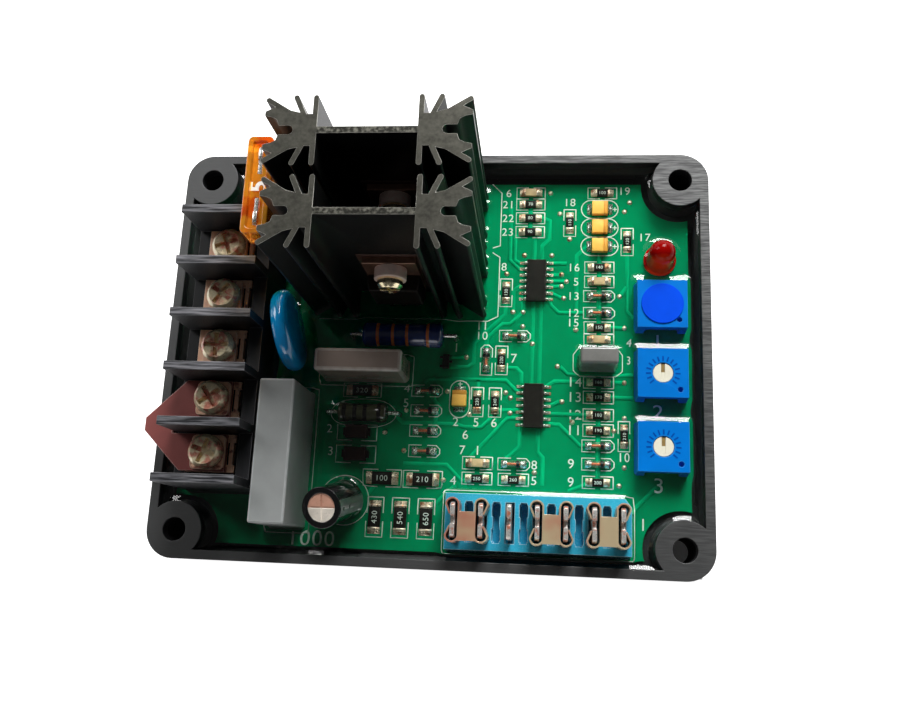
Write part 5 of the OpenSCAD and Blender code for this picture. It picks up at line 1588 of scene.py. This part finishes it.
class REGULATOR_OT_stage(RegulatorOperator, bpy.types.Operator):
    """Set up the floor, backdrop, light and camera"""

    bl_idname = "regulator.stage"
    bl_label = "Stage"

    def execute(self, context):
        stage = context.scene.regulator_stage
        context.scene.view_settings.view_transform = "Standard"
        self.floor(stage)
        self.world(context, stage)
        for name, setting in LAMPS.items():
            self.lamp(name, *setting, getattr(stage, name))
        camera = add_object("camera", bpy.data.cameras.new("camera"))
        camera.data.lens = CAMERA_LENS
        camera.data.sensor_width = SENSOR_WIDTH
        camera.data.clip_start = 0.01
        camera.location = CAMERA_AT
        camera.rotation_euler = [math.radians(a) for a in CAMERA_TURN]
        context.scene.camera = camera
        return {"FINISHED"}

    def lamp(self, name, turn, rise, far, size, power):
        """A flat lamp that faces the object, turned in degrees from the back to the right."""
        turn, rise = math.radians(turn), math.radians(rise)
        way = Vector((math.cos(rise) * math.sin(turn), math.cos(rise) * math.cos(turn), math.sin(rise)))
        light = bpy.data.lights.new(name, "AREA")
        light.energy = power
        light.shape = "RECTANGLE"
        light.size, light.size_y = size
        lamp = add_object(name, light)
        lamp.location = way * far
        lamp.rotation_euler = (-way).to_track_quat("-Z", "Y").to_euler()

    def floor(self, stage):
        """A round floor that rises to a low wall, white to the eye and in reflections, with a painted shadow
        under the tray.
        """
        outline = [(0, 0), (1.0, 0), (2.6, 0), (2.85, 0.06), (3.0, 0.25), (3.0, 1.1)]
        bm = lathe(outline, 64, Matrix.Translation((0, 0, -FLOOR_DROP)))
        bm.normal_update()
        if next(iter(bm.faces)).normal.z < 0:
            bmesh.ops.reverse_faces(bm, faces=bm.faces)
        finish = Finish("floor_white", stage.floor, 0.9)
        tree = finish.tree
        path = put(tree, "ShaderNodeLightPath").outputs
        mirrored = maths(tree, "MAXIMUM", path["Is Glossy Ray"], path["Is Transmission Ray"])
        seen = maths(tree, "MAXIMUM", path["Is Camera Ray"], mirrored)
        place = axes(tree)
        beside = within(tree, place["X"], 0.0, HOLES["spacing_x_mm"] * MM / 2 + FOOT_MARGIN)
        before = within(tree, place["Y"], 0.0, HOLES["spacing_y_mm"] * MM / 2 + FOOT_MARGIN)
        # Under the tray the floor hardly glows: a painted shadow, so that the holes look dark
        glow_outside_painted_shadow = maths(tree, "SUBTRACT", 0.97, times(tree, times(tree, beside, before), 0.955))
        glow = put(tree, "ShaderNodeEmission", {"Strength": times(tree, seen, glow_outside_painted_shadow)})
        both = put(tree, "ShaderNodeAddShader", {0: finish.shader.outputs[0], 1: glow.outputs[0]})
        tree.links.new(both.outputs[0], tree.nodes["Material Output"].inputs["Surface"])
        mesh = to_mesh("floor", bm)
        coat(mesh, finish.material)
        add_object("floor", mesh)

    def world(self, context, stage):
        """Even light from above the wall."""
        world = bpy.data.worlds.new("studio")
        world.use_nodes = True
        background = world.node_tree.nodes["Background"]
        background.inputs["Color"].default_value = (1, 1, 1, 1)
        background.inputs["Strength"].default_value = stage.sky
        context.scene.world = world


class REGULATOR_PT_panel(bpy.types.Panel):
    """Lists the steps in the sidebar"""

    bl_idname = "REGULATOR_PT_panel"
    bl_label = "Voltage regulator"
    bl_space_type = "VIEW_3D"
    bl_region_type = "UI"
    bl_category = "Regulator"

    def draw(self, context):
        for operator in OPERATORS:
            self.layout.operator(operator.bl_idname)
        for name in SETTINGS:
            group = getattr(context.scene, name)
            for key in group.__annotations__:
                self.layout.prop(group, key)


OPERATORS = (
    REGULATOR_OT_stage,
    REGULATOR_OT_tray,
    REGULATOR_OT_board,
    REGULATOR_OT_chips,
    REGULATOR_OT_terminals,
    REGULATOR_OT_heatsinks,
    REGULATOR_OT_devices,
    REGULATOR_OT_fuse,
    REGULATOR_OT_capacitors,
    REGULATOR_OT_resistors,
    REGULATOR_OT_header,
    REGULATOR_OT_trimmers,
    REGULATOR_OT_lamp,
    REGULATOR_OT_resin,
)
CLASSES = (*SETTINGS.values(), *OPERATORS, REGULATOR_PT_panel)


def register():
    """Registers the classes and their settings."""
    for cls in CLASSES:
        bpy.utils.register_class(cls)
    for name, cls in SETTINGS.items():
        setattr(bpy.types.Scene, name, PointerProperty(type=cls))


def unregister():
    """Takes the classes and their settings away."""
    for name in SETTINGS:
        delattr(bpy.types.Scene, name)
    for cls in reversed(CLASSES):
        bpy.utils.unregister_class(cls)


def main():
    """Runs every step in order."""
    register()
    for operator in OPERATORS:
        group, name = operator.bl_idname.split(".")
        getattr(getattr(bpy.ops, group), name)()
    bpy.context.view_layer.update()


if __name__ == "__main__":
    main()
